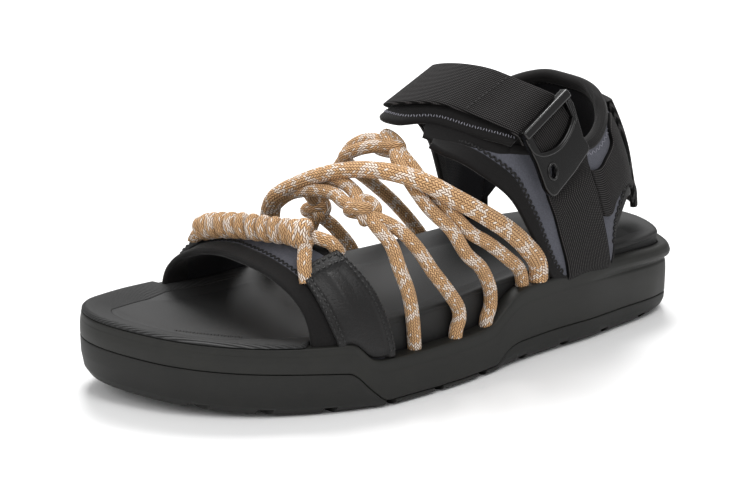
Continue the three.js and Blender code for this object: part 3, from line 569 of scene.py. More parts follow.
def rope(name, path, run, wide, flat, outward, sides=28, start=0.0, taper=1.0, finish="Tan cord",
         slot="cord_fabric", node=None):
    """A cord along a path of points; outward gives the flat side's direction at each point."""
    tangent = unit(np.gradient(path, axis=0))
    out = unit(outward - tangent * np.sum(outward * tangent, -1, keepdims=True))
    beside = np.cross(tangent, out)
    a = 2 * PI * np.arange(sides) / sides
    ring = beside[:, None] * (wide / 2 * np.cos(a))[None, :, None] + out[:,
            None] * (flat / 2 * np.sin(a))[None, :, None]
    rings = path[:, None] + ring * (taper + 0 * run)[:, None, None]
    share = np.append(a, 2 * PI) / (2 * PI)
    mark = np.stack(np.broadcast_arrays((run + start)[:, None], share[None], float(wide)), -1)
    return make(name, *loops(rings, mark), finish, slot=slot, node=node)


# Finishes
class Value:
    """A socket that can be used in sums."""

    def __init__(self, finish, socket):
        self.finish, self.socket = finish, socket

    def math(self, kind, *others):
        return self.finish.node("ShaderNodeMath", {"operation": kind}, [self, *others])

    def __add__(self, other):
        return self.math("ADD", other)

    def __sub__(self, other):
        return self.math("SUBTRACT", other)

    def __mul__(self, other):
        return self.math("MULTIPLY", other)

    def __truediv__(self, other):
        return self.math("DIVIDE", other)

    def __rsub__(self, other):
        return self.finish.node("ShaderNodeMath", {"operation": "SUBTRACT"}, [other, self])

    def __rtruediv__(self, other):
        return self.finish.node("ShaderNodeMath", {"operation": "DIVIDE"}, [other, self])

    __radd__, __rmul__ = __add__, __mul__

    def sine(self):
        return self.math("SINE")

    def floor(self):
        return self.math("FLOOR")

    def part(self):
        """What is left over a whole number."""
        return self.math("FRACT")

    def size(self):
        return self.math("ABSOLUTE")

    def most(self, other):
        return self.math("MAXIMUM", other)

    def ramp(self, low, high):
        """0 below low and 1 above high, smooth between them."""
        settings = {"interpolation_type": "SMOOTHSTEP"}
        return self.finish.node("ShaderNodeMapRange", settings,
                                {"Value": self, "From Min": low, "From Max": high})


class Finish:
    """A material under construction."""

    def __init__(self, name, tone, roughness, **constants):
        self.material = bpy.data.materials.new(name)
        self.material.use_nodes = True
        self.tree = self.material.node_tree
        self.shader = self.tree.nodes["Principled BSDF"]
        self.material.diffuse_color = (*tone, 1)
        self.set("Base Color", (*tone, 1))
        self.set("Roughness", roughness)
        for label, value in constants.items():
            self.set(label.replace("_", " "), value)

    def put(self, socket, value):
        if isinstance(value, Value):
            self.tree.links.new(value.socket, socket)
        else:
            socket.default_value = value

    def set(self, label, value):
        self.put(self.shader.inputs[label], value)

    def node(self, kind, settings=None, inputs=(), output=0):
        """One output of a new node, or all of them where output is None."""
        node = self.tree.nodes.new(kind)
        for label, value in (settings or {}).items():
            setattr(node, label, value)
        for label, value in inputs.items() if isinstance(inputs, dict) else enumerate(inputs):
            self.put(node.inputs[label], value)
        if output is None:
            return [Value(self, socket) for socket in node.outputs]
        return Value(self, node.outputs[output])

    def place(self):
        """The piece's own place, in millimetres: run, width and height."""
        place = self.node("ShaderNodeAttribute", {"attribute_name": "place"}, output="Vector")
        return self.parts(place), place

    def spot(self):
        """The place in the shoe, in millimetres."""
        spot = self.node("ShaderNodeTexCoord", output="Object")
        spot = self.node("ShaderNodeVectorMath", {"operation": "SCALE"}, {0: spot, "Scale": 1 / MM})
        return self.parts(spot), spot

    def parts(self, vector):
        return self.node("ShaderNodeSeparateXYZ", inputs=[vector], output=None)

    def noise(self, vector, scale, detail=3.0):
        inputs = {"Vector": vector, "Scale": scale, "Detail": detail, "Roughness": 0.55}
        return self.node("ShaderNodeTexNoise", inputs=inputs)

    def cells(self, vector, scale):
        return self.node("ShaderNodeTexVoronoi", inputs={"Vector": vector, "Scale": scale})

    def blend(self, share, a, b):
        """A colour between two: a where the share is 0 and b where it is 1."""
        a, b = (tone if isinstance(tone, Value) else (*tone, 1) for tone in (a, b))
        return self.node("ShaderNodeMix", {"data_type": "RGBA"}, {0: share, 6: a, 7: b}, output=2)

    def relief(self, height, depth):
        """Raises the surface by a height in millimetres."""
        return self.node("ShaderNodeBump", inputs={"Height": height, "Distance": depth * MM,
                                                   "Strength": 1.0})


def colour(red, green, blue):
    """A colour given by its screen values, as a linear one."""
    shares = (red / 255, green / 255, blue / 255)
    return tuple(c / 12.92 if c <= 0.04045 else ((c + 0.055) / 1.055) ** 2.4 for c in shares)


def tint(tone, share):
    """A tone made darker or lighter."""
    return tuple(share * c for c in tone)


def rubber(name, tone, roughness, grain=0.25):
    """Fine grain, with broad soft changes of tone and gloss."""
    f = Finish(name, tone, roughness, Specular_IOR_Level=0.38)
    _, spot = f.spot()
    fine, broad = f.noise(spot, 2.2, 4.0), f.noise(spot, 0.09, 2.0)
    f.set("Roughness", broad * 0.14 + (roughness - 0.07))
    f.set("Base Color", f.blend(broad.ramp(0.35, 0.7), tint(tone, 0.85), tint(tone, 1.2)))
    f.set("Normal", f.relief(fine, grain * 0.3))


RIB_PITCH, NOTCH_PITCH = 1.1, 1.5  # the toe rim's ribs and the ribbed line's notches
BAR_AT = (103.5, 11)  # middle of the ribbed line


def footbed_finish(tone):
    """Matt foam: slanting ribs on the toe rim, with a low step inside them and a short ribbed line."""
    f = Finish("Footbed foam", tone, 0.62, Specular_IOR_Level=0.4)
    (x, y, _), spot = f.spot()
    (_, inset, _), _ = f.place()
    ribs = ((x * 0.62 + y * 0.78) * (2 * PI / RIB_PITCH)).sine()
    outer_rim = 1 - inset.ramp(13.5, 14.0)
    rim = outer_rim * x.ramp(56.0, 60.0)
    ahead, beside = x - BAR_AT[0], y - BAR_AT[1]
    run, off = ahead * 0.81 - beside * 0.586, ahead * 0.586 + beside * 0.81
    bar = (1 - off.size().ramp(0.8, 1.1)) * (1 - run.size().ramp(14.0, 15.0))
    notches = (run * (2 * PI / NOTCH_PITCH)).sine()
    grain = f.noise(spot, 3.0, 3.0)
    height = ribs * rim * 0.17 + rim * 0.5 + bar * (notches * 0.3 + 0.3) + grain * 0.1
    f.set("Normal", f.relief(height, 1.0))
    # Painted shade and highlight: the toe rim's ribs are darker in their grooves and lighter on their crests
    f.set("Base Color", f.blend((ribs * rim).ramp(-0.9, 0.6), tint(tone, 0.45), tint(tone, 1.15)))


def leather(tone):
    """Small cells of grain, with a soft change of gloss."""
    f = Finish("Black leather", tone, 0.5, Specular_IOR_Level=0.32)
    _, spot = f.spot()
    grain = f.cells(spot, 1.1).ramp(0.1, 0.6) + f.noise(spot, 2.4) * 0.6
    f.set("Roughness", f.noise(spot, 0.5) * 0.16 + 0.42)
    f.set("Normal", f.relief(grain, 0.09))


def knit(name, tone, pitch=0.62, nap=0.9):
    """Rows of small knitted loops, fuzzy, with painted shade: darker in patches where the rows and fuzz
    sink, lighter where they stand up.
    """
    f = Finish(name, tone, 0.85, Specular_IOR_Level=0.15, Sheen_Weight=0.12, Sheen_Roughness=0.4)
    (run, wide, _), place = f.place()
    ribs = (wide * (2 * PI / (pitch * 1.3)) + run * 0.4).sine()
    rows = (run * (2 * PI / pitch)).sine() * (ribs * 0.5 + 0.6)
    fuzz = f.noise(place, 1.3, 4.0)
    f.set("Normal", f.relief(rows * 0.5 + fuzz, 0.11 * nap))
    # Painted shade: the colour follows the relief, darker where the rows and fuzz sink and lighter where
    # they stand up
    wear_and_shade = (fuzz * 0.7 + rows * 0.12).ramp(0.1, 0.75)
    f.set("Base Color", f.blend(wear_and_shade, tint(tone, 0.72), tint(tone, 1.18)))


def webbing(name, tone, pitch=1.0):
    """Ribs along the strap, each crossed by the fine weave of its threads."""
    f = Finish(name, tone, 0.75, Specular_IOR_Level=0.14)
    (run, wide, _), vector = f.place()
    rib = (wide * (PI / pitch)).sine().size()
    weave = (run * (2 * PI / 0.75) + (wide / pitch).floor() * PI).sine()
    height = rib.math("POWER", 0.7) + weave * 0.12 + f.noise(vector, 2.0) * 0.15
    f.set("Normal", f.relief(height, 0.34))
    lit = rib.ramp(0.6, 1.0) * weave.ramp(-1.2, 0.6)
    f.set("Base Color", f.blend(lit, tint(tone, 0.4), tint(tone, 14)))


def plastic(tone):
    """Glossy, with faint broad marks of handling."""
    f = Finish("Gloss plastic", tone, 0.22)
    _, spot = f.spot()
    f.set("Roughness", f.noise(spot, 0.25) * 0.1 + 0.17)


def cord_finish(tone, painted_crease_shade, light, pitch, columns=18, lay=17.0):
    """A braid: columns of slanted stitches, with light flecks in two bands of helices that cross."""
    f = Finish("Tan cord", tone, 0.8, Specular_IOR_Level=0.2, Sheen_Weight=0.12, Sheen_Roughness=0.4)
    (run, share, _), place = f.place()
    row = share * columns
    rank = row.floor()
    across = row.part()
    odd = (rank * 0.5).part() * 4 - 1
    slant = run / pitch + (across - 0.5) * odd * 0.8 + rank * 0.5
    bead = (slant.part() * PI).sine() * (across * PI).sine().math("POWER", 0.7)
    step = slant.floor()
    middle = (rank + 0.5) / columns
    along = (step - rank * 0.5 + 0.5) * pitch / lay

    def band(way, offset):
        turnings = along * way + middle + offset + 50
        return 1 - ((turnings.part() - 0.5).size() * columns).ramp(1.5, 1.9)

    # A number from 0 to 1 for each stitch leaves out some flecks and strews others
    chance = ((step * 12.9898 + rank * 78.233).sine() * 43758.5453).part()
    kept, strewn = chance.ramp(0.16, 0.2), chance.ramp(0.88, 0.9)
    fleck = (band(1, 0.0).most(band(-1, 0.5)) * kept).most(strewn) * bead.ramp(0.2, 0.45)
    wear_and_shade = f.noise(place, 0.8)
    body = f.blend(wear_and_shade.ramp(0.3, 0.7), tint(tone, 0.84), tint(tone, 1.08))
    # Painted shade: the crease colour fills the hollows between the stitches' beads
    body = f.blend(bead.ramp(0.05, 0.6), painted_crease_shade, body)
    f.set("Base Color", f.blend(fleck * 0.9, body, light))
    f.set("Normal", f.relief(bead + wear_and_shade * 0.1, 0.4))


def dye(name, description, *screen):
    settings = {"subtype": "COLOR", "size": 3, "default": colour(*screen)}
    return bpy.props.FloatVectorProperty(name=name, description=description, **settings)


def length(name, description, mm):
    return bpy.props.FloatProperty(name=name, description=description, default=mm * MM, unit="LENGTH")


def in_mm(value):
    return round(value / MM, 4)


class SandalColours(bpy.types.PropertyGroup):
    rubber: dye("Rubber", "Outsole rubber", 22, 22, 20)
    foam: dye("Foam", "Midsole foam", 24, 24, 21)
    bed: dye("Footbed", "Footbed foam", 30, 30, 30)
    fabric: dye("Fabric", "Stretch fabric", 92, 93, 101)
    lining: dye("Lining", "Lining of the upper", 30, 30, 33)
    black: dye("Binding", "Bindings, webbing and leather", 24, 23, 23)
    cord: dye("Cord", "Body of the cord", 221, 178, 131)
    # Painted shade in the hollows between the cord's stitches
    crease_shade: dye("Cord crease", "Between the cord's stitches", 106, 70, 40)
    fleck: dye("Cord fleck", "Light tracer stitches", 246, 234, 222)


class SandalSizes(bpy.types.PropertyGroup):
    stitch: length("Stitch", "Length of a straight stitch", 1.8)
    zigzag: length("Zigzag", "Length of a zigzag stitch", 2.4)
    thread: length("Thread", "Thickness of a stitch", 0.55)
    braid: length("Braid", "Length of one stitch of the cord", 1.5)


class SANDAL_OT_finishes(bpy.types.Operator):
    """Makes the materials"""

    bl_idname, bl_label = "sandal.finishes", "Finishes"

    def execute(self, context):
        sizes, colours = context.scene.sandal_sizes, context.scene.sandal_colours
        black = tuple(colours.black)
        rubber("Outsole rubber", tuple(colours.rubber), 0.6)
        rubber("Midsole foam", tuple(colours.foam), 0.58, 0.2)
        footbed_finish(tuple(colours.bed))
        leather(tint(black, 0.95))
        knit("Stretch fabric", tuple(colours.fabric))
        knit("Lining", tuple(colours.lining))
        knit("Binding", tint(black, 1.25), 0.5, 0.7)
        webbing("Strap webbing", tint(black, 0.6))
        webbing("Side webbing", tint(black, 0.6))
        plastic(tint(black, 0.35))
        cord_finish(*(tuple(tone) for tone in (colours.cord, colours.crease_shade, colours.fleck)),
                    in_mm(sizes.braid))
        Finish("Thread", tint(black, 1.5), 0.5)
        Finish("Grey thread", colour(140, 140, 150), 0.6)
        Finish("Patch thread", tint(black, 0.35), 0.4)
        Finish("Black thread", tint(black, 0.6), 0.7)
        return {"FINISHED"}


def sole_rings(profile, count=420, radius=0.6):
    """Rings round the sole from (inset, height) rows, with every corner rounded."""
    angle = 2 * PI * np.arange(count) / count
    s = share_of(angle)
    rows = np.array([[value(s) if callable(value) else value + 0 * s for value in row] for row in profile])
    fine = [rows[0]]
    for a, b, c in zip(rows[:-2], rows[1:-1], rows[2:]):
        start, finish = (b + way * np.minimum(radius / np.maximum(np.linalg.norm(way, axis=0), 1e-6), 0.42)
                         for way in (a - b, c - b))
        fine += [start, b + 0.25 * (start - b) + 0.25 * (finish - b), finish]
    fine.append(rows[-1])
    inset, height = np.array(fine).transpose(1, 0, 2)
    rings = np.stack([np.concatenate([outline(angle, i), h[:, None]], -1) for i, h in zip(inset, height)])
    run = run_of(np.vstack([rings[0], rings[0][:1]]))
    close = lambda a: np.concatenate([a, a[:, :1]], 1)
    marks = np.stack([np.repeat(run[None], len(rings), 0), close(inset), close(height)], -1)
    return rings, marks


INSIDE = 30  # how much the inset mark grows from the last ring to the middle


def to_centre(rings, marks, shares):
    """More rings, drawn in towards the line down the middle."""
    last = rings[-1]
    middle = (last + last[(-np.arange(len(last))) % len(last)]) / 2
    more = np.stack([mix(last, middle, t) for t in shares])
    added = np.repeat(marks[-1:], len(shares), 0)
    added[..., 1] += INSIDE * np.array(shares)[:, None]
    return np.concatenate([rings, more]), np.concatenate([marks, added])


set_back = lambda s: HEEL_BEAD * heel(s)


TREAD = (0.09, 0.18, 0.27, 0.36, 0.45, 0.54, 0.63, 0.72, 0.81, 0.89)  # the grooves, by share of the length
GROOVE_WIDE, GROOVE_LONG, GROOVE_HIGH, GROOVE_TURN = 5, 30, 6.8, 0.25


def groove_cutter():
    """A block at each groove of the tread, on both sides."""
    work = bmesh.new()
    for share in TREAD:
        for side in (1, -1):
            x, y = outline(turn(share) if side > 0 else 2 * PI - turn(share), 0.0)
            place = Matrix.Translation(Vector((x, y, underside(share))) * MM)
            size = Matrix.Diagonal((GROOVE_WIDE * MM, GROOVE_LONG * MM, GROOVE_HIGH * MM, 1))
            turned = Matrix.Rotation(side * GROOVE_TURN, 4, "Z")
            bmesh.ops.create_cube(work, size=1, matrix=place @ turned @ size)
    mesh = bpy.data.meshes.new("grooves")
    work.to_mesh(mesh)
    work.free()
    return put("grooves", mesh)


class SANDAL_OT_outsole(bpy.types.Operator):
    """Makes the outsole, with its tread grooves"""

    bl_idname, bl_label = "sandal.outsole", "Outsole"

    def execute(self, context):
        rise = lambda t: lambda s: mix(underside(s), rubber_height(s), t)
        wall = lambda inset: lambda s: inset + set_back(s)
        rings, marks = sole_rings([
            (9, rise(0)), (7, rise(0)), (wall(4.2), rise(0.02)), (wall(1.4), rise(0.24)),
            (wall(0.2), rise(0.6)),
            (set_back, rise(1)), (wall(3), rise(1)),
        ])
        piece = make("rubber_outsole", *loops(rings, marks), "Outsole rubber", node="outsole",
                     slot="outsole_rubber")
        cutter = groove_cutter()
        cut = piece.modifiers.new("Grooves", "BOOLEAN")
        cut.object, cut.operation, cut.solver = cutter, "DIFFERENCE", "EXACT"
        done = finished_mesh(piece)
        piece.modifiers.clear()
        piece.data = done
        bpy.data.objects.remove(cutter)
        return {"FINISHED"}


def toe_zone(s):
    """1 in front of the vamp strap, where the footbed reaches out to the side."""
    lateral = np.arange(len(s)) < len(s) / 2
    start = np.where(lateral, 0.753, 0.822)
    return ramp(start, start + 0.012, s)


class SANDAL_OT_midsole(bpy.types.Operator):
    """Makes the midsole, with the slot that takes the straps"""

    bl_idname, bl_label = "sandal.midsole", "Midsole"

    def execute(self, context):
        floor = lambda s: rubber_height(s) + GAP
        rise = lambda t, drop=0.0: lambda s: mix(floor(s), rim_height(s), t) - drop * heel(s)
        wall = lambda fore, back: lambda s: mix(fore, back, heel(s))
        deep = lambda s: rim_height(s) - RECESS
        rings, marks = sole_rings([
            (lambda s: set_back(s) + 6, floor), (set_back, floor), (set_back, rise(0.45)),
            (lambda s: set_back(s) + 0.3, rise(0.7, 1.4)), (wall(0.4, HEEL_BEAD + 1.2), rise(0.72, 0.6)),
            (0.5, rise(0.78)), (wall(0.6, 0), rise(0.86)), (wall(0.8, 0.9), rise(0.96)),
            (wall(1.4, 2.6), rise(1)),
            (lambda s: slot(s) - GAP, rise(1)), (lambda s: slot(s) - GAP, deep),
            (lambda s: slot(s) + 4, deep),
        ])
        make("foam_midsole", *loops(rings, marks), "Midsole foam", node="midsole", slot="midsole_foam")
        return {"FINISHED"}


class SANDAL_OT_footbed(bpy.types.Operator):
    """Makes the footbed, dished and with a ribbed toe rim"""

    bl_idname, bl_label = "sandal.footbed", "Footbed"

    def execute(self, context):
        floor = lambda s: rim_height(s) - RECESS + GAP
        edge = lambda inset: lambda s: slot(s) + inset
        lip = lambda inset: lambda s: mix(slot(s) - 0.1, 0.9, toe_zone(s)) + inset
        under = lambda s: mix(bed_height(s) - 2.2, rim_height(s) + GAP, toe_zone(s))
        sink = lambda depth: lambda s: bed_height(s) - depth
        rings, marks = sole_rings([
            (edge(4), floor), (edge(0), floor), (edge(0.1), under), (lip(0), under), (lip(0.1), sink(0.7)),
            (lip(1.9), lambda s: bed_height(s) + 0.7 * toe_zone(s)), (edge(6), sink(0.3 * DISH)),
            (edge(13), sink(DISH)), (edge(14), sink(DISH)),
        ], radius=1.2)
        rings, marks = to_centre(rings, marks, (0.2, 0.45, 0.7, 0.9))
        make("moulded_footbed", *loops(rings, marks), "Footbed foam", node="footbed", slot="footbed_foam")
        return {"FINISHED"}


def fold(across, middle, width, height):
    """A soft ridge, or a trough when taken away."""
    return height * np.exp(-(((across - middle) / width) ** 2))


def width_of(face, u):
    return np.linalg.norm(face(u, np.ones_like(u)) - face(u, np.zeros_like(u)), axis=-1)


ZIGZAG = 0.95  # how far a zigzag stitch swings from its seam, in radians


def patch_face(start, end):
    """The face of a leather patch: from the sole up over the vamp strap, between two shares of it."""

    def face(u, v):
        t = mix(start, end, u * mix(1, 1.05, v))
        w = mix(0.28 - 0.09 * np.sin(PI * np.clip(u, 0, 1)), 1, v)
        return vamp_face(t, w, EDGE + 1.2 * ramp(0.12, 0.03, u))

    return face


def patch_top(u, v):
    """How far a patch stands up: its thick edging, and a ridge and a trough where it creases."""
    edging = np.maximum(ramp(0.85, 0.89, u), np.maximum(ramp(0.16, 0.12, v), ramp(0.84, 0.88, v)))
    ridge = fold(v, 0.36 + 0.1 * u, 0.07, 0.8) * ramp(0.3, 0.6, u) * ramp(0.86, 0.8, u)
    trough = fold(v, 0.56 + 0.16 * u, 0.08, 0.5) * ramp(0.45, 0.7, u) * ramp(0.86, 0.8, u)
    return 1.4 * SEAM * edging + ridge - trough


class SANDAL_OT_vamp(bpy.types.Operator):
    """Makes the vamp strap with its bindings, seams and side patches"""

    bl_idname, bl_label = "sandal.vamp", "Vamp strap"

    def execute(self, context):
        sizes = context.scene.sandal_sizes
        share = lambda mm, u: mm / width_of(vamp_face, u)
        slack = lambda u, v: fold(v, 0.62 + 0.3 * (u - 0.3), 0.09, 0.5) * ramp(0.2, 0.35,
                u) * ramp(0.85, 0.6, u) - 0.1
        bound = lambda u: share(8.6, u) + share(4, u) * (ramp(0.2, 0.06, u) + ramp(0.8, 0.94, u))
        strap("stretch_vamp", vamp_face, ["Stretch fabric", "Lining"], -2.5, slack, FORE_CENTRE, 100, 28,
              near=0.03, far=0.97, lined=True, node="vamp_strap", slot="stretch_fabric")
        strap("vamp_front_binding", vamp_face, "Binding", -2.9, 0.45, FORE_CENTRE, 100, 10, near=-0.015,
              far=bound, edge=1.3, slot="pad_fabric")
        strap("vamp_rear_binding", vamp_face, "Binding", -2.9, 0.45, FORE_CENTRE, 100, 8,
              near=lambda u: 1 - share(5.5, u), far=1.015, edge=1.3, slot="pad_fabric")
        u = np.linspace(0.02, 0.98, 200)
        seam = stitch_line(vamp_face, u, bound(u) + share(0.7, u), FORE_CENTRE, 1.4, 0.15)
        stitches("vamp_zigzag", [seam], in_mm(sizes.zigzag), 1.5 * in_mm(sizes.thread), ZIGZAG,
                 "Black thread")
        run = np.linspace(0.08, 0.97, 80)
        for name, start, end in (("vamp_patch_outer", 0.0, 0.3), ("vamp_patch_inner", 1.0, 0.72)):
            face = patch_face(start, end)
            strap(name + "_leather", face, "Black leather", -PATCH, patch_top, FORE_CENTRE, 60, 40,
                  start=0.045,
                  node=name, slot="patch_leather")
            rows = []
            for inset in (0.035, 0.11):
                lines = [(run, side + 0 * run) for side in (inset, 1 - inset)]
                lines.append((1 - inset + 0 * run, mix(0.05, 0.95, run)))
                rows += [stitch_line(face, *line, FORE_CENTRE, 2.6, 1.35 * SEAM) for line in lines]
            stitches(name + "_stitches", rows, 2.2, 1.05, thread="Patch thread")
        return {"FINISHED"}


class SANDAL_OT_quarter(bpy.types.Operator):
    """Makes the quarter round the heel with its padded collar, bindings and seams"""

    bl_idname, bl_label = "sandal.quarter", "Quarter"

    def execute(self, context):
        sizes = context.scene.sandal_sizes
        share = lambda mm, u: mm / width_of(quarter_face, u)
        rear = lambda u: 3.2 * ramp(0.36, 0.38, u) * ramp(0.52, 0.5, u)
        wide = lambda u: mix(2.6, 9.3, ramp(0.3, 0.25, u) + ramp(0.86, 0.92, u)) + rear(u)
        front = lambda u: 1 - share(wide(u), u)
        stitch, zigzag, thread = (in_mm(value) for value in (sizes.stitch, sizes.zigzag, sizes.thread))
        strap("padded_quarter", quarter_face, ["Stretch fabric", "Lining"], -2.6, -0.1, HEEL_CENTRE, 200, 30,
              start=0.03, near=lambda u: mix(0.03, -share(6, u), ramp(0.2, 0.15, u)), far=0.98, lined=True,
              node="quarter", slot="stretch_fabric")
        strap("collar_roll", quarter_face, "Binding", -WALL - ROLL - 0.2, 0.9, HEEL_CENTRE, 200, 10,
              start=0.16,
              end=0.998, near=lambda u: -share(1.2, u), far=lambda u: share(4.8, u), edge=2.6,
              slot="pad_fabric")
        strap("quarter_binding", quarter_face, "Binding", -2.9, 0.35, HEEL_CENTRE, 200, 10, start=0.025,
              near=front, far=lambda u: 1 + share(0.8, u), edge=1.1, slot="pad_fabric")
        seams = (np.linspace(0.03, 0.28, 120), np.linspace(0.9, 0.985, 60), np.linspace(0.38, 0.5, 60))
        rows = [stitch_line(quarter_face, u, front(u) - share(0.7, u), HEEL_CENTRE, 1.5, 0.15)
                for u in seams]
        stitches("quarter_zigzag", rows, zigzag + 0.2, 2 * thread, ZIGZAG, "Black thread")
        back = np.linspace(0.3, 0.5, 100)
        stitches("collar_zigzag", [stitch_line(quarter_face, back, share(6, back), HEEL_CENTRE, 1.5, 0.1)],
                 zigzag, 0.4, 0.9, "Grey thread")
        around = np.linspace(0.02, 0.98, 300)
        inner_seam = stitch_line(quarter_face, around, share(5.4, around), HEEL_CENTRE, 2.2, -2.85)
        stitches("collar_stitches", [inner_seam], stitch, 0.4)
        return {"FINISHED"}


# Outer webbing, by its front and back edges as shares round and down the quarter
SIDE = [[(0.289, 1.02), (0.286, 0.93), (0.281, 0.82), (0.27, 0.68), (0.257, 0.543), (0.24, 0.44),
         (0.262, 0.25)],
        [(0.36, 1.02), (0.358, 0.93), (0.355, 0.79), (0.35, 0.573), (0.346, 0.377), (0.343, 0.211),
         (0.347, 0.09)]]
ARM = [[(0.343, 0.205), (0.401, 0.236), (0.432, 0.25), (0.45, 0.12), (0.478, 0.08)],
       [(0.352, 0.56), (0.405, 0.668), (0.44, 0.78), (0.478, 0.93)]]


class SANDAL_OT_straps(bpy.types.Operator):
    """Makes the webbing of the side, heel and instep, the instep pad and the heel tab"""

    bl_idname, bl_label = "sandal.straps", "Straps"

    def execute(self, context):
        sizes = context.scene.sandal_sizes
        side, arm = (band_on_quarter(*table) for table in (SIDE, ARM))
        sink = lambda U, V: WEBBING + GAP - 2.4 * ramp(0.18, 0.0, U) - 1.4 * ramp(0.8, 0.95, U)
        for name, face, top in (("side_webbing_outer", side, sink),
                                ("heel_webbing_outer", arm, WEBBING + GAP)):
            strap(name + "_band", face, "Side webbing", -1.5, top, HEEL_CENTRE, 60, 18, edge=0.7,
                  node=name, slot="webbing_fabric")
        strap("instep_band", instep_face, "Strap webbing", -WEBBING, 0, INSTEP_CENTRE, 150, 26, edge=0.8,
              node="instep_webbing", slot="webbing_fabric")
        cross = np.linspace(0.06, 0.94, 40)
        seam = stitch_line(instep_face, 0.66 + 0 * cross, cross, INSTEP_CENTRE, 2.2, 0.02)
        stitches("webbing_stitches", [seam], in_mm(sizes.stitch), 0.5)
        pad = strap("instep_cushion", pad_face, "Binding", -PAD - 0.3, 0.1, INSTEP_CENTRE, 120, 24,
                    edge=1.6, node="instep_pad",
                    slot="pad_fabric")

        def gusset(u, v):
            over = pad_face(0.5 + 0.5 * u, 0.7 + 0 * u) - np.array([0, 1.0, 1.6])
            return mix(over, quarter_face(0.2 * u, 0.5 + 0 * u), v[..., None])

        strap("gusset", gusset, "Binding", -2, -0.6, INSTEP_CENTRE, 50, 12, edge=0.7, slot="pad_fabric")
        run = np.linspace(0.1, 0.98, 160)
        stitches("pad_zigzag", [stitch_line(pad_face, run, 1 - 4.6 / width_of(pad_face, run),
                                            INSTEP_CENTRE, 1.25, 0.15)],
                 1.6, 0.42, 1.25, "Grey thread")
        strap("heel_pull_tab", tab_face, "Side webbing", -TAB, 0, HEEL_CENTRE, 60, 24, edge=1.4,
              node="heel_tab", slot="webbing_fabric")
        return {"FINISHED"}


BUCKLE_AT = at(0.362, 0.641, 0.961)
RAIL_WAY, FACING = unit(np.array([-0.858, -0.195, 0.475])), unit(np.array([-0.05, 0.952, 0.301]))
HOLE_TURN = -0.7  # the oval hole's slant, in radians


def bend(a, b, c, count=8):
    """Points of a curve from a to c, drawn towards b; a itself is left out."""
    t = np.linspace(0, 1, count + 1)[1:, None]
    return [tuple(p) for p in (1 - t) ** 2 * np.array(a) + 2 * t * (1 - t) * np.array(b) + t**2
            * np.array(c)]


def oval(turns, long, wide, x, y):
    """Points of the slanted oval round the hole."""
    c, s = np.cos(HOLE_TURN), np.sin(HOLE_TURN)
    along, over = long * np.cos(turns), wide * np.sin(turns)
    return np.stack([x + along * c - over * s, y + along * s + over * c], -1)


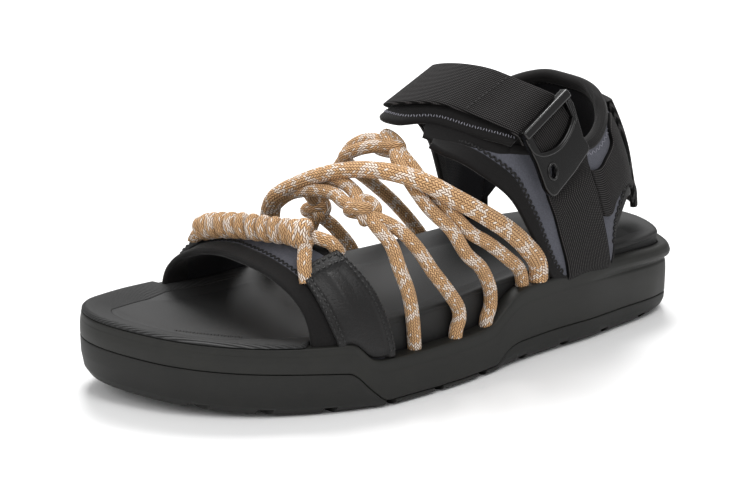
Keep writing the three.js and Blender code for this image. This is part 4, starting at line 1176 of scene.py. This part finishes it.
class SANDAL_OT_buckle(bpy.types.Operator):
    """Makes the buckle: a plate with a window and an oval hole, under a rounded rail"""

    bl_idname, bl_label = "sandal.buckle", "Buckle"

    def execute(self, context):
        w, l = BUCKLE_WIDE, BUCKLE_LONG
        plate = [(-1, 0), (l * 0.44, -w * 0.08), (l * 0.77, -w * 0.19)]
        plate += bend(plate[-1], (l, -w * 0.23), (l * 0.96, -w * 0.03)) + [(l * 0.93, w * 0.37),
                (l * 0.87, w * 0.76)]
        plate += bend(plate[-1], (l * 0.83, w * 0.84), (l * 0.66, w * 0.82)) + [(l * 0.21, w), (-1, w)]
        window = [(l * 0.09, w * 0.1), (l * 0.09, w * 0.9), (l * 0.34, w * 0.86)]
        window += bend(window[-1], (l * 0.6, w * 0.4), (l * 0.36, w * 0.07))
        hole = oval(np.linspace(0, 2 * PI, 24, endpoint=False), 3.2, 1.9, l * 0.68, w * 0.05)
        curve = bpy.data.curves.new("plate", "CURVE")
        curve.dimensions, curve.fill_mode, curve.bevel_resolution = "2D", "BOTH", 3
        curve.extrude, curve.bevel_depth, curve.offset = BUCKLE_THICK / 2 - 0.7, 0.7, -0.7
        for edge in (plate, window, hole):
            spline = curve.splines.new("POLY")
            spline.points.add(len(edge) - 1)
            spline.points.foreach_set("co", [value for x, y in edge for value in (x, y, 0, 1)])
            spline.use_cyclic_u = True
        body = put("plate", curve)
        mesh = finished_mesh(body)
        bpy.data.objects.remove(body)
        work = bmesh.new()
        work.from_mesh(mesh)
        bmesh.ops.translate(work, verts=work.verts, vec=(0, 0, BUCKLE_THICK / 2))
        seat = Matrix.Translation((1.1, w / 2, BUCKLE_THICK / 2 + 0.8))
        size = Matrix.Diagonal((RAIL, w + 1, BUCKLE_THICK + 1.6, 1))
        rail = bmesh.ops.create_cube(work, size=1, matrix=seat @ size)["verts"]
        edges = list({edge for vert in rail for edge in vert.link_edges})
        bmesh.ops.bevel(work, geom=edges, offset=1.3, segments=5, affect="EDGES", profile=0.6)
        way = np.cross(RAIL_WAY, FACING)
        place = BUCKLE_AT - FACING * GAP
        turned = Matrix([[*row, 0] for row in np.stack([way, RAIL_WAY, FACING], 1)] + [[0, 0, 0, 1]])
        seated = Matrix.Scale(MM, 4) @ Matrix.Translation(place) @ turned
        bmesh.ops.transform(work, matrix=seated, verts=work.verts)
        bmesh.ops.remove_doubles(work, verts=work.verts, dist=MERGE)
        bmesh.ops.recalc_face_normals(work, faces=work.faces)
        work.to_mesh(mesh)
        work.free()
        mesh.materials.clear()
        mesh.materials.append(bpy.data.materials["Gloss plastic"])
        smooth(mesh)
        mesh.set_sharp_from_angle(angle=0.6)
        settle(put("plastic_buckle", mesh), "buckle")

        on_plate = lambda x, y, up: place + way * x + RAIL_WAY * y + FACING * up
        moulded = {"sides": 10, "finish": "Gloss plastic", "slot": "buckle_plastic"}
        arc = bend((l * 0.37, w * 0.9), (l * 0.66, w * 0.4), (l * 0.39, w * 0.03), 24)
        line = np.array([(l * 0.12, w * 0.95), *arc[:-1], (l * 0.3, -w * 0.02), (l * 0.14, -w * 0.02)])
        ridge, run = spaced([on_plate(x, y, BUCKLE_THICK - 0.1) for x, y in line], 0.7)
        rope("buckle_ridge", ridge, run, 1.5, 1.2, FACING + 0 * ridge, **moulded)
        ring = 2 * PI * np.linspace(0, 1, 49)
        eye = oval(ring, 3.7, 2.4, l * 0.68, w * 0.05 + 0.3)
        path = on_plate(eye[:, :1], eye[:, 1:], BUCKLE_THICK)
        rope("buckle_eye", path, ring, 1.3, 1.3, FACING + 0 * path, **moulded)

        def fold_face(u, v):
            up = 0.9 * np.sin(PI * u) ** 0.5
            return on_plate((u * l * 0.5)[..., None], mix(w * 0.1, w * 0.9, v)[..., None], up[..., None])

        strap("buckle_webbing", fold_face, "Strap webbing", -WEBBING, 0, place - 60 * FACING, 30, 20,
              edge=0.7,
              slot="webbing_fabric")
        return {"FINISHED"}


# The cords, by points in millimetres from their outer foot in the sole to the inner one
OUTER_KNOT, TOP_KNOT, INNER_KNOT = (32, 22, 79), (3, -1, 97.4), (16, -43, 58)
STRANDS = [
    [(21.5, 48.6, 19), (22.3, 48.9, 28), (23.5, 49.3, 37), (25.5, 49, 48), (28.5, 45.5, 60),
     (29, 40, 68), (31, 32, 74),
     OUTER_KNOT, (35, 12, 80), (35, 2, 81.5), (38, -10, 80), (42, -24, 75), (45, -34, 66),
     (45, -43, 54), (41, -47, 40),
     (37, -48, 19)],
    [(-0.5, 47.4, 19), (-1, 47.3, 25.5), (-2.5, 47.3, 30), (-2, 47.2, 35), (4, 48.5, 44),
     (12, 47.5, 55), (18, 43, 66),
     (23, 36, 73), OUTER_KNOT, (29, 11, 83), (29, -1, 85), (31, -12, 83), (29, -26, 78), (24, -37, 69),
     INNER_KNOT,
     (19, -44.5, 46), (17, -43.5, 34), (14, -41, 19)],
    [(-19.5, 43.4, 19), (-20, 43.2, 25.5), (-22, 42.8, 30), (-22.4, 42.6, 35), (-20.5, 44, 41),
     (-15, 45, 51), (-7, 45, 59),
     (-1, 42, 70), (6, 35, 79), (8, 24, 87), (7, 11, 94), TOP_KNOT, (7, -13, 98), (10, -22, 93),
     (9, -33, 82), (12, -40, 70),
     INNER_KNOT, (7, -42, 47), (-1, -40.5, 36), (-6, -38.4, 19)],
    [(-44, 37.4, 31), (-40.5, 39, 43), (-32, 42, 51), (-20, 43, 61), (-10, 42.5, 68), (-2, 36, 79),
     (2, 25, 87), (3, 12, 94),
     TOP_KNOT, (12, -9, 96), (15, -20, 90), (5, -33, 80), (-11, -41, 67.5), (-24, -42, 55.5),
     (-37, -42, 40.5), (-43, -40, 31)],
]
THICK = [
    (-52.5, 37, 33), (-50, 39.5, 45), (-42, 41, 55), (-31, 42.5, 65), (-20, 42.5, 73), (-5, 39, 83),
    (6, 31, 90), (16, 19, 93),
    (25, 4, 91.5), (34, -9, 87), (41, -19, 81), (46, -28, 74), (45, -36, 64), (40, -43, 50),
    (32, -47, 36), (26, -45, 19),
]
# Each knot's centre and size, and how its turns are spun round
KNOTS = [
    ("outer_knot", OUTER_KNOT, (16, 12.5, 13.5), 0.3), ("top_knot", TOP_KNOT, (13, 15, 13), 1.4),
    ("inner_knot", INNER_KNOT, (14, 11.5, 14), 0.9),
]


def away(points):
    """The direction away from the foot."""
    out = points - np.array([0, -3, 30])
    out[:, 0] = 0
    return unit(out)


class SANDAL_OT_cords(bpy.types.Operator):
    """Makes the cords over the instep and their three knots"""

    bl_idname, bl_label = "sandal.cords", "Cords"

    def execute(self, context):
        for i, points in enumerate([*STRANDS, THICK]):
            path, run = spaced(points, 1.2)
            wide, flat = (THICK_CORD, THICK_FLAT) if points is THICK else (CORD, CORD * 0.94)
            rope(f"cord_{i + 1}", path, run, wide, flat, away(path), start=7.0 * i,
                 node=None if i else "cords")
        t = np.linspace(0, 2 * PI, 120)
        thick = 0.9 * CORD
        for name, centre, size, spin in KNOTS:
            reach = (np.array(size) - thick * 0.82) / 2
            x, y, z = np.sin(t + spin) + 2 * np.sin(2 * t), -1.2 * np.sin(3 * t), np.cos(t
                    + spin) - 2 * np.cos(2 * t)
            shape = np.stack([x, y, z], -1)
            shape = shape / np.abs(shape).max(0)
            path = np.array(centre) + shape * reach
            rope(name, path, run_of(path), thick, thick * 0.9, shape / (reach + 1))
        return {"FINISHED"}


def on_vamp(share, side, lift):
    """A place over the vamp strap, by its share of the length and its side."""
    angle = np.linspace(0, PI, 721)
    section = arch(share + 0 * angle, angle, VAMP_FACE)
    a = np.interp(-side * WIDTH / 2, -section[:, 1], angle)
    near = ((share, a), (share, a + 0.02), (share + 0.01, a))
    here, beside, ahead = (arch(np.array([s]), np.array([b]), VAMP_FACE)[0] for s, b in near)
    return here + unit(np.cross(beside - here, ahead - here)) * lift


# The barrel knot's middle line and four cord ends, by share of the length, side and lift over the strap
BARREL = [(0.768, -0.6), (0.76, -0.45), (0.746, -0.24), (0.729, 0), (0.709, 0.21), (0.692, 0.345)]
ENDS = [
    [(0.7, 0.34, 1.5), (0.712, 0.43, 1.1), (0.722, 0.5, 0.4), (0.727, 0.55, -1.6), (0.73, 0.585, -4)],
    [(0.688, 0.35, 1.5), (0.68, 0.41, 0.8), (0.673, 0.45, -0.2), (0.668, 0.49, -2.6), (0.664, 0.52, -5)],
    [(0.772, -0.6, 1.5), (0.78, -0.66, 1.2), (0.782, -0.67, 2.2)],
    [(0.766, -0.61, 1.5), (0.758, -0.66, 1.2), (0.753, -0.67, 2.2)],
]


class SANDAL_OT_barrel_knot(bpy.types.Operator):
    """Makes the barrel knot on the vamp and its four cord ends"""

    bl_idname, bl_label = "sandal.barrel_knot", "Barrel knot"

    def execute(self, context):
        centre = through([on_vamp(share, side, KNOT / 2 + 3 * GAP) for share, side in BARREL])
        t = np.linspace(0, 1, 48 * TURNS)
        line = centre(t)
        tangent = unit(np.gradient(line, axis=0))
        side = unit(np.cross(np.array([0, 0, 1.0]), tangent))
        up = np.cross(tangent, side)
        a = 2 * PI * TURNS * t
        radial = side * np.cos(a)[:, None] + up * np.sin(a)[:, None]
        wide, flat = 5.5, 4.4
        draw = 0.55 + 0.45 * ramp(0, 0.04, np.minimum(t, 1 - t))
        path = line + radial * ((KNOT - flat) / 2 * draw)[:, None]
        fuller = 1 + 0.4 * ramp(0.84, 0.9, t) * ramp(1.0, 0.97, t)
        rope("barrel_wraps", path, run_of(path), wide, flat, radial, taper=fuller, node="barrel_knot")
        for i, rows in enumerate(ENDS):
            path, run = spaced([on_vamp(s, y, CORD / 2 + GAP + lift) for s, y, lift in rows], 0.8)
            rope(f"barrel_end_{i + 1}", path, run, CORD, CORD * 0.9, away(path), start=5.0 * i)
        return {"FINISHED"}


FLOOR = 8  # half the floor's side, in metres
LIT = (0, 0, 0.05)  # where the lights point, in metres
LIGHTS = [  # name, place and size in metres, and power in watts
    ("key", (0.1, 0.8, 1.5), 0.8, 11), ("left", (1.1, 0.1, 0.8), 0.7, 4),
    ("back", (-0.35, -0.7, 1.25), 0.7, 20),
]
# The camera's axes, and its place along them and its lens in millimetres
RIGHT, UP, BACK = (-0.860, 0.510, 0.002), (-0.165, -0.282, 0.945), (0.482, 0.813, 0.327)
AWAY, ACROSS, RISE, LENS = 1179.92, 45.11, -59.79, 123.74
AIM_RIGHT, AIM_DOWN = 1.72, 0.5  # degrees, to bring the one shoe to the middle of the frame


class SANDAL_OT_stage(bpy.types.Operator):
    """Sets the floor, the lights and the camera"""

    bl_idname, bl_label = "sandal.stage", "Stage"

    def execute(self, context):
        scene = bpy.context.scene
        mesh = bpy.data.meshes.new("floor")
        corners = [(x * FLOOR, y * FLOOR, 0) for x, y in ((-1, -1), (1, -1), (1, 1), (-1, 1))]
        mesh.from_pydata(corners, [], [(0, 1, 2, 3)])
        mesh.materials.append(Finish("Pale floor", (0.93, 0.93, 0.93), 0.8).material)
        put("floor", mesh)
        world = bpy.data.worlds.new("Studio")
        world.use_nodes = True
        background = world.node_tree.nodes["Background"]
        background.inputs["Color"].default_value = (1, 1, 1, 1)
        background.inputs["Strength"].default_value = 0.5
        scene.world = world
        for name, place, size, power in LIGHTS:
            light = bpy.data.lights.new(name, "AREA")
            light.size, light.energy = size, power
            lamp = put(name, light)
            lamp.location = place
            lamp.rotation_euler = (Vector(LIT) - Vector(place)).to_track_quat("-Z", "Y").to_euler()
        right, up, back = (Vector(v).normalized() for v in (RIGHT, UP, BACK))
        camera = put("camera", bpy.data.cameras.new("camera"))
        camera.data.lens, camera.data.sensor_width = LENS, 36
        camera.data.clip_start, camera.data.clip_end = 0.05, 40
        turned = Matrix([[right[i], up[i], back[i]] for i in range(3)]).to_4x4()
        aim = Matrix.Rotation(np.radians(-AIM_RIGHT), 4, "Y") @ Matrix.Rotation(np.radians(-AIM_DOWN),
                4, "X")
        camera.matrix_world = Matrix.Translation((back * AWAY - right * ACROSS - up * RISE)
                                                 * MM) @ turned @ aim
        scene.camera = camera
        scene.view_settings.view_transform = "Standard"
        return {"FINISHED"}


class SANDAL_PT_panel(bpy.types.Panel):
    """Lists the sandal's sizes, colours and steps"""

    bl_label, bl_space_type, bl_region_type, bl_category = "Cord sandal", "VIEW_3D", "UI", "Sandal"

    def draw(self, context):
        for group in (context.scene.sandal_sizes, context.scene.sandal_colours):
            for name in group.__annotations__:
                self.layout.prop(group, name)
        for step in STEPS:
            self.layout.operator(step.bl_idname)


STEPS = [
    SANDAL_OT_finishes, SANDAL_OT_stage, SANDAL_OT_cords, SANDAL_OT_barrel_knot, SANDAL_OT_outsole,
    SANDAL_OT_midsole,
    SANDAL_OT_footbed, SANDAL_OT_vamp, SANDAL_OT_quarter, SANDAL_OT_straps, SANDAL_OT_buckle,
]
CLASSES = [SandalColours, SandalSizes, *STEPS, SANDAL_PT_panel]


def register():
    for each in CLASSES:
        bpy.utils.register_class(each)
    bpy.types.Scene.sandal_colours = bpy.props.PointerProperty(type=SandalColours)
    bpy.types.Scene.sandal_sizes = bpy.props.PointerProperty(type=SandalSizes)


def unregister():
    del bpy.types.Scene.sandal_colours, bpy.types.Scene.sandal_sizes
    for each in reversed(CLASSES):
        bpy.utils.unregister_class(each)


def main():
    register()
    for step in STEPS:
        group, name = step.bl_idname.split(".")
        if getattr(getattr(bpy.ops, group), name)() != {"FINISHED"}:
            raise RuntimeError(step.bl_label)


if __name__ == "__main__":
    main()
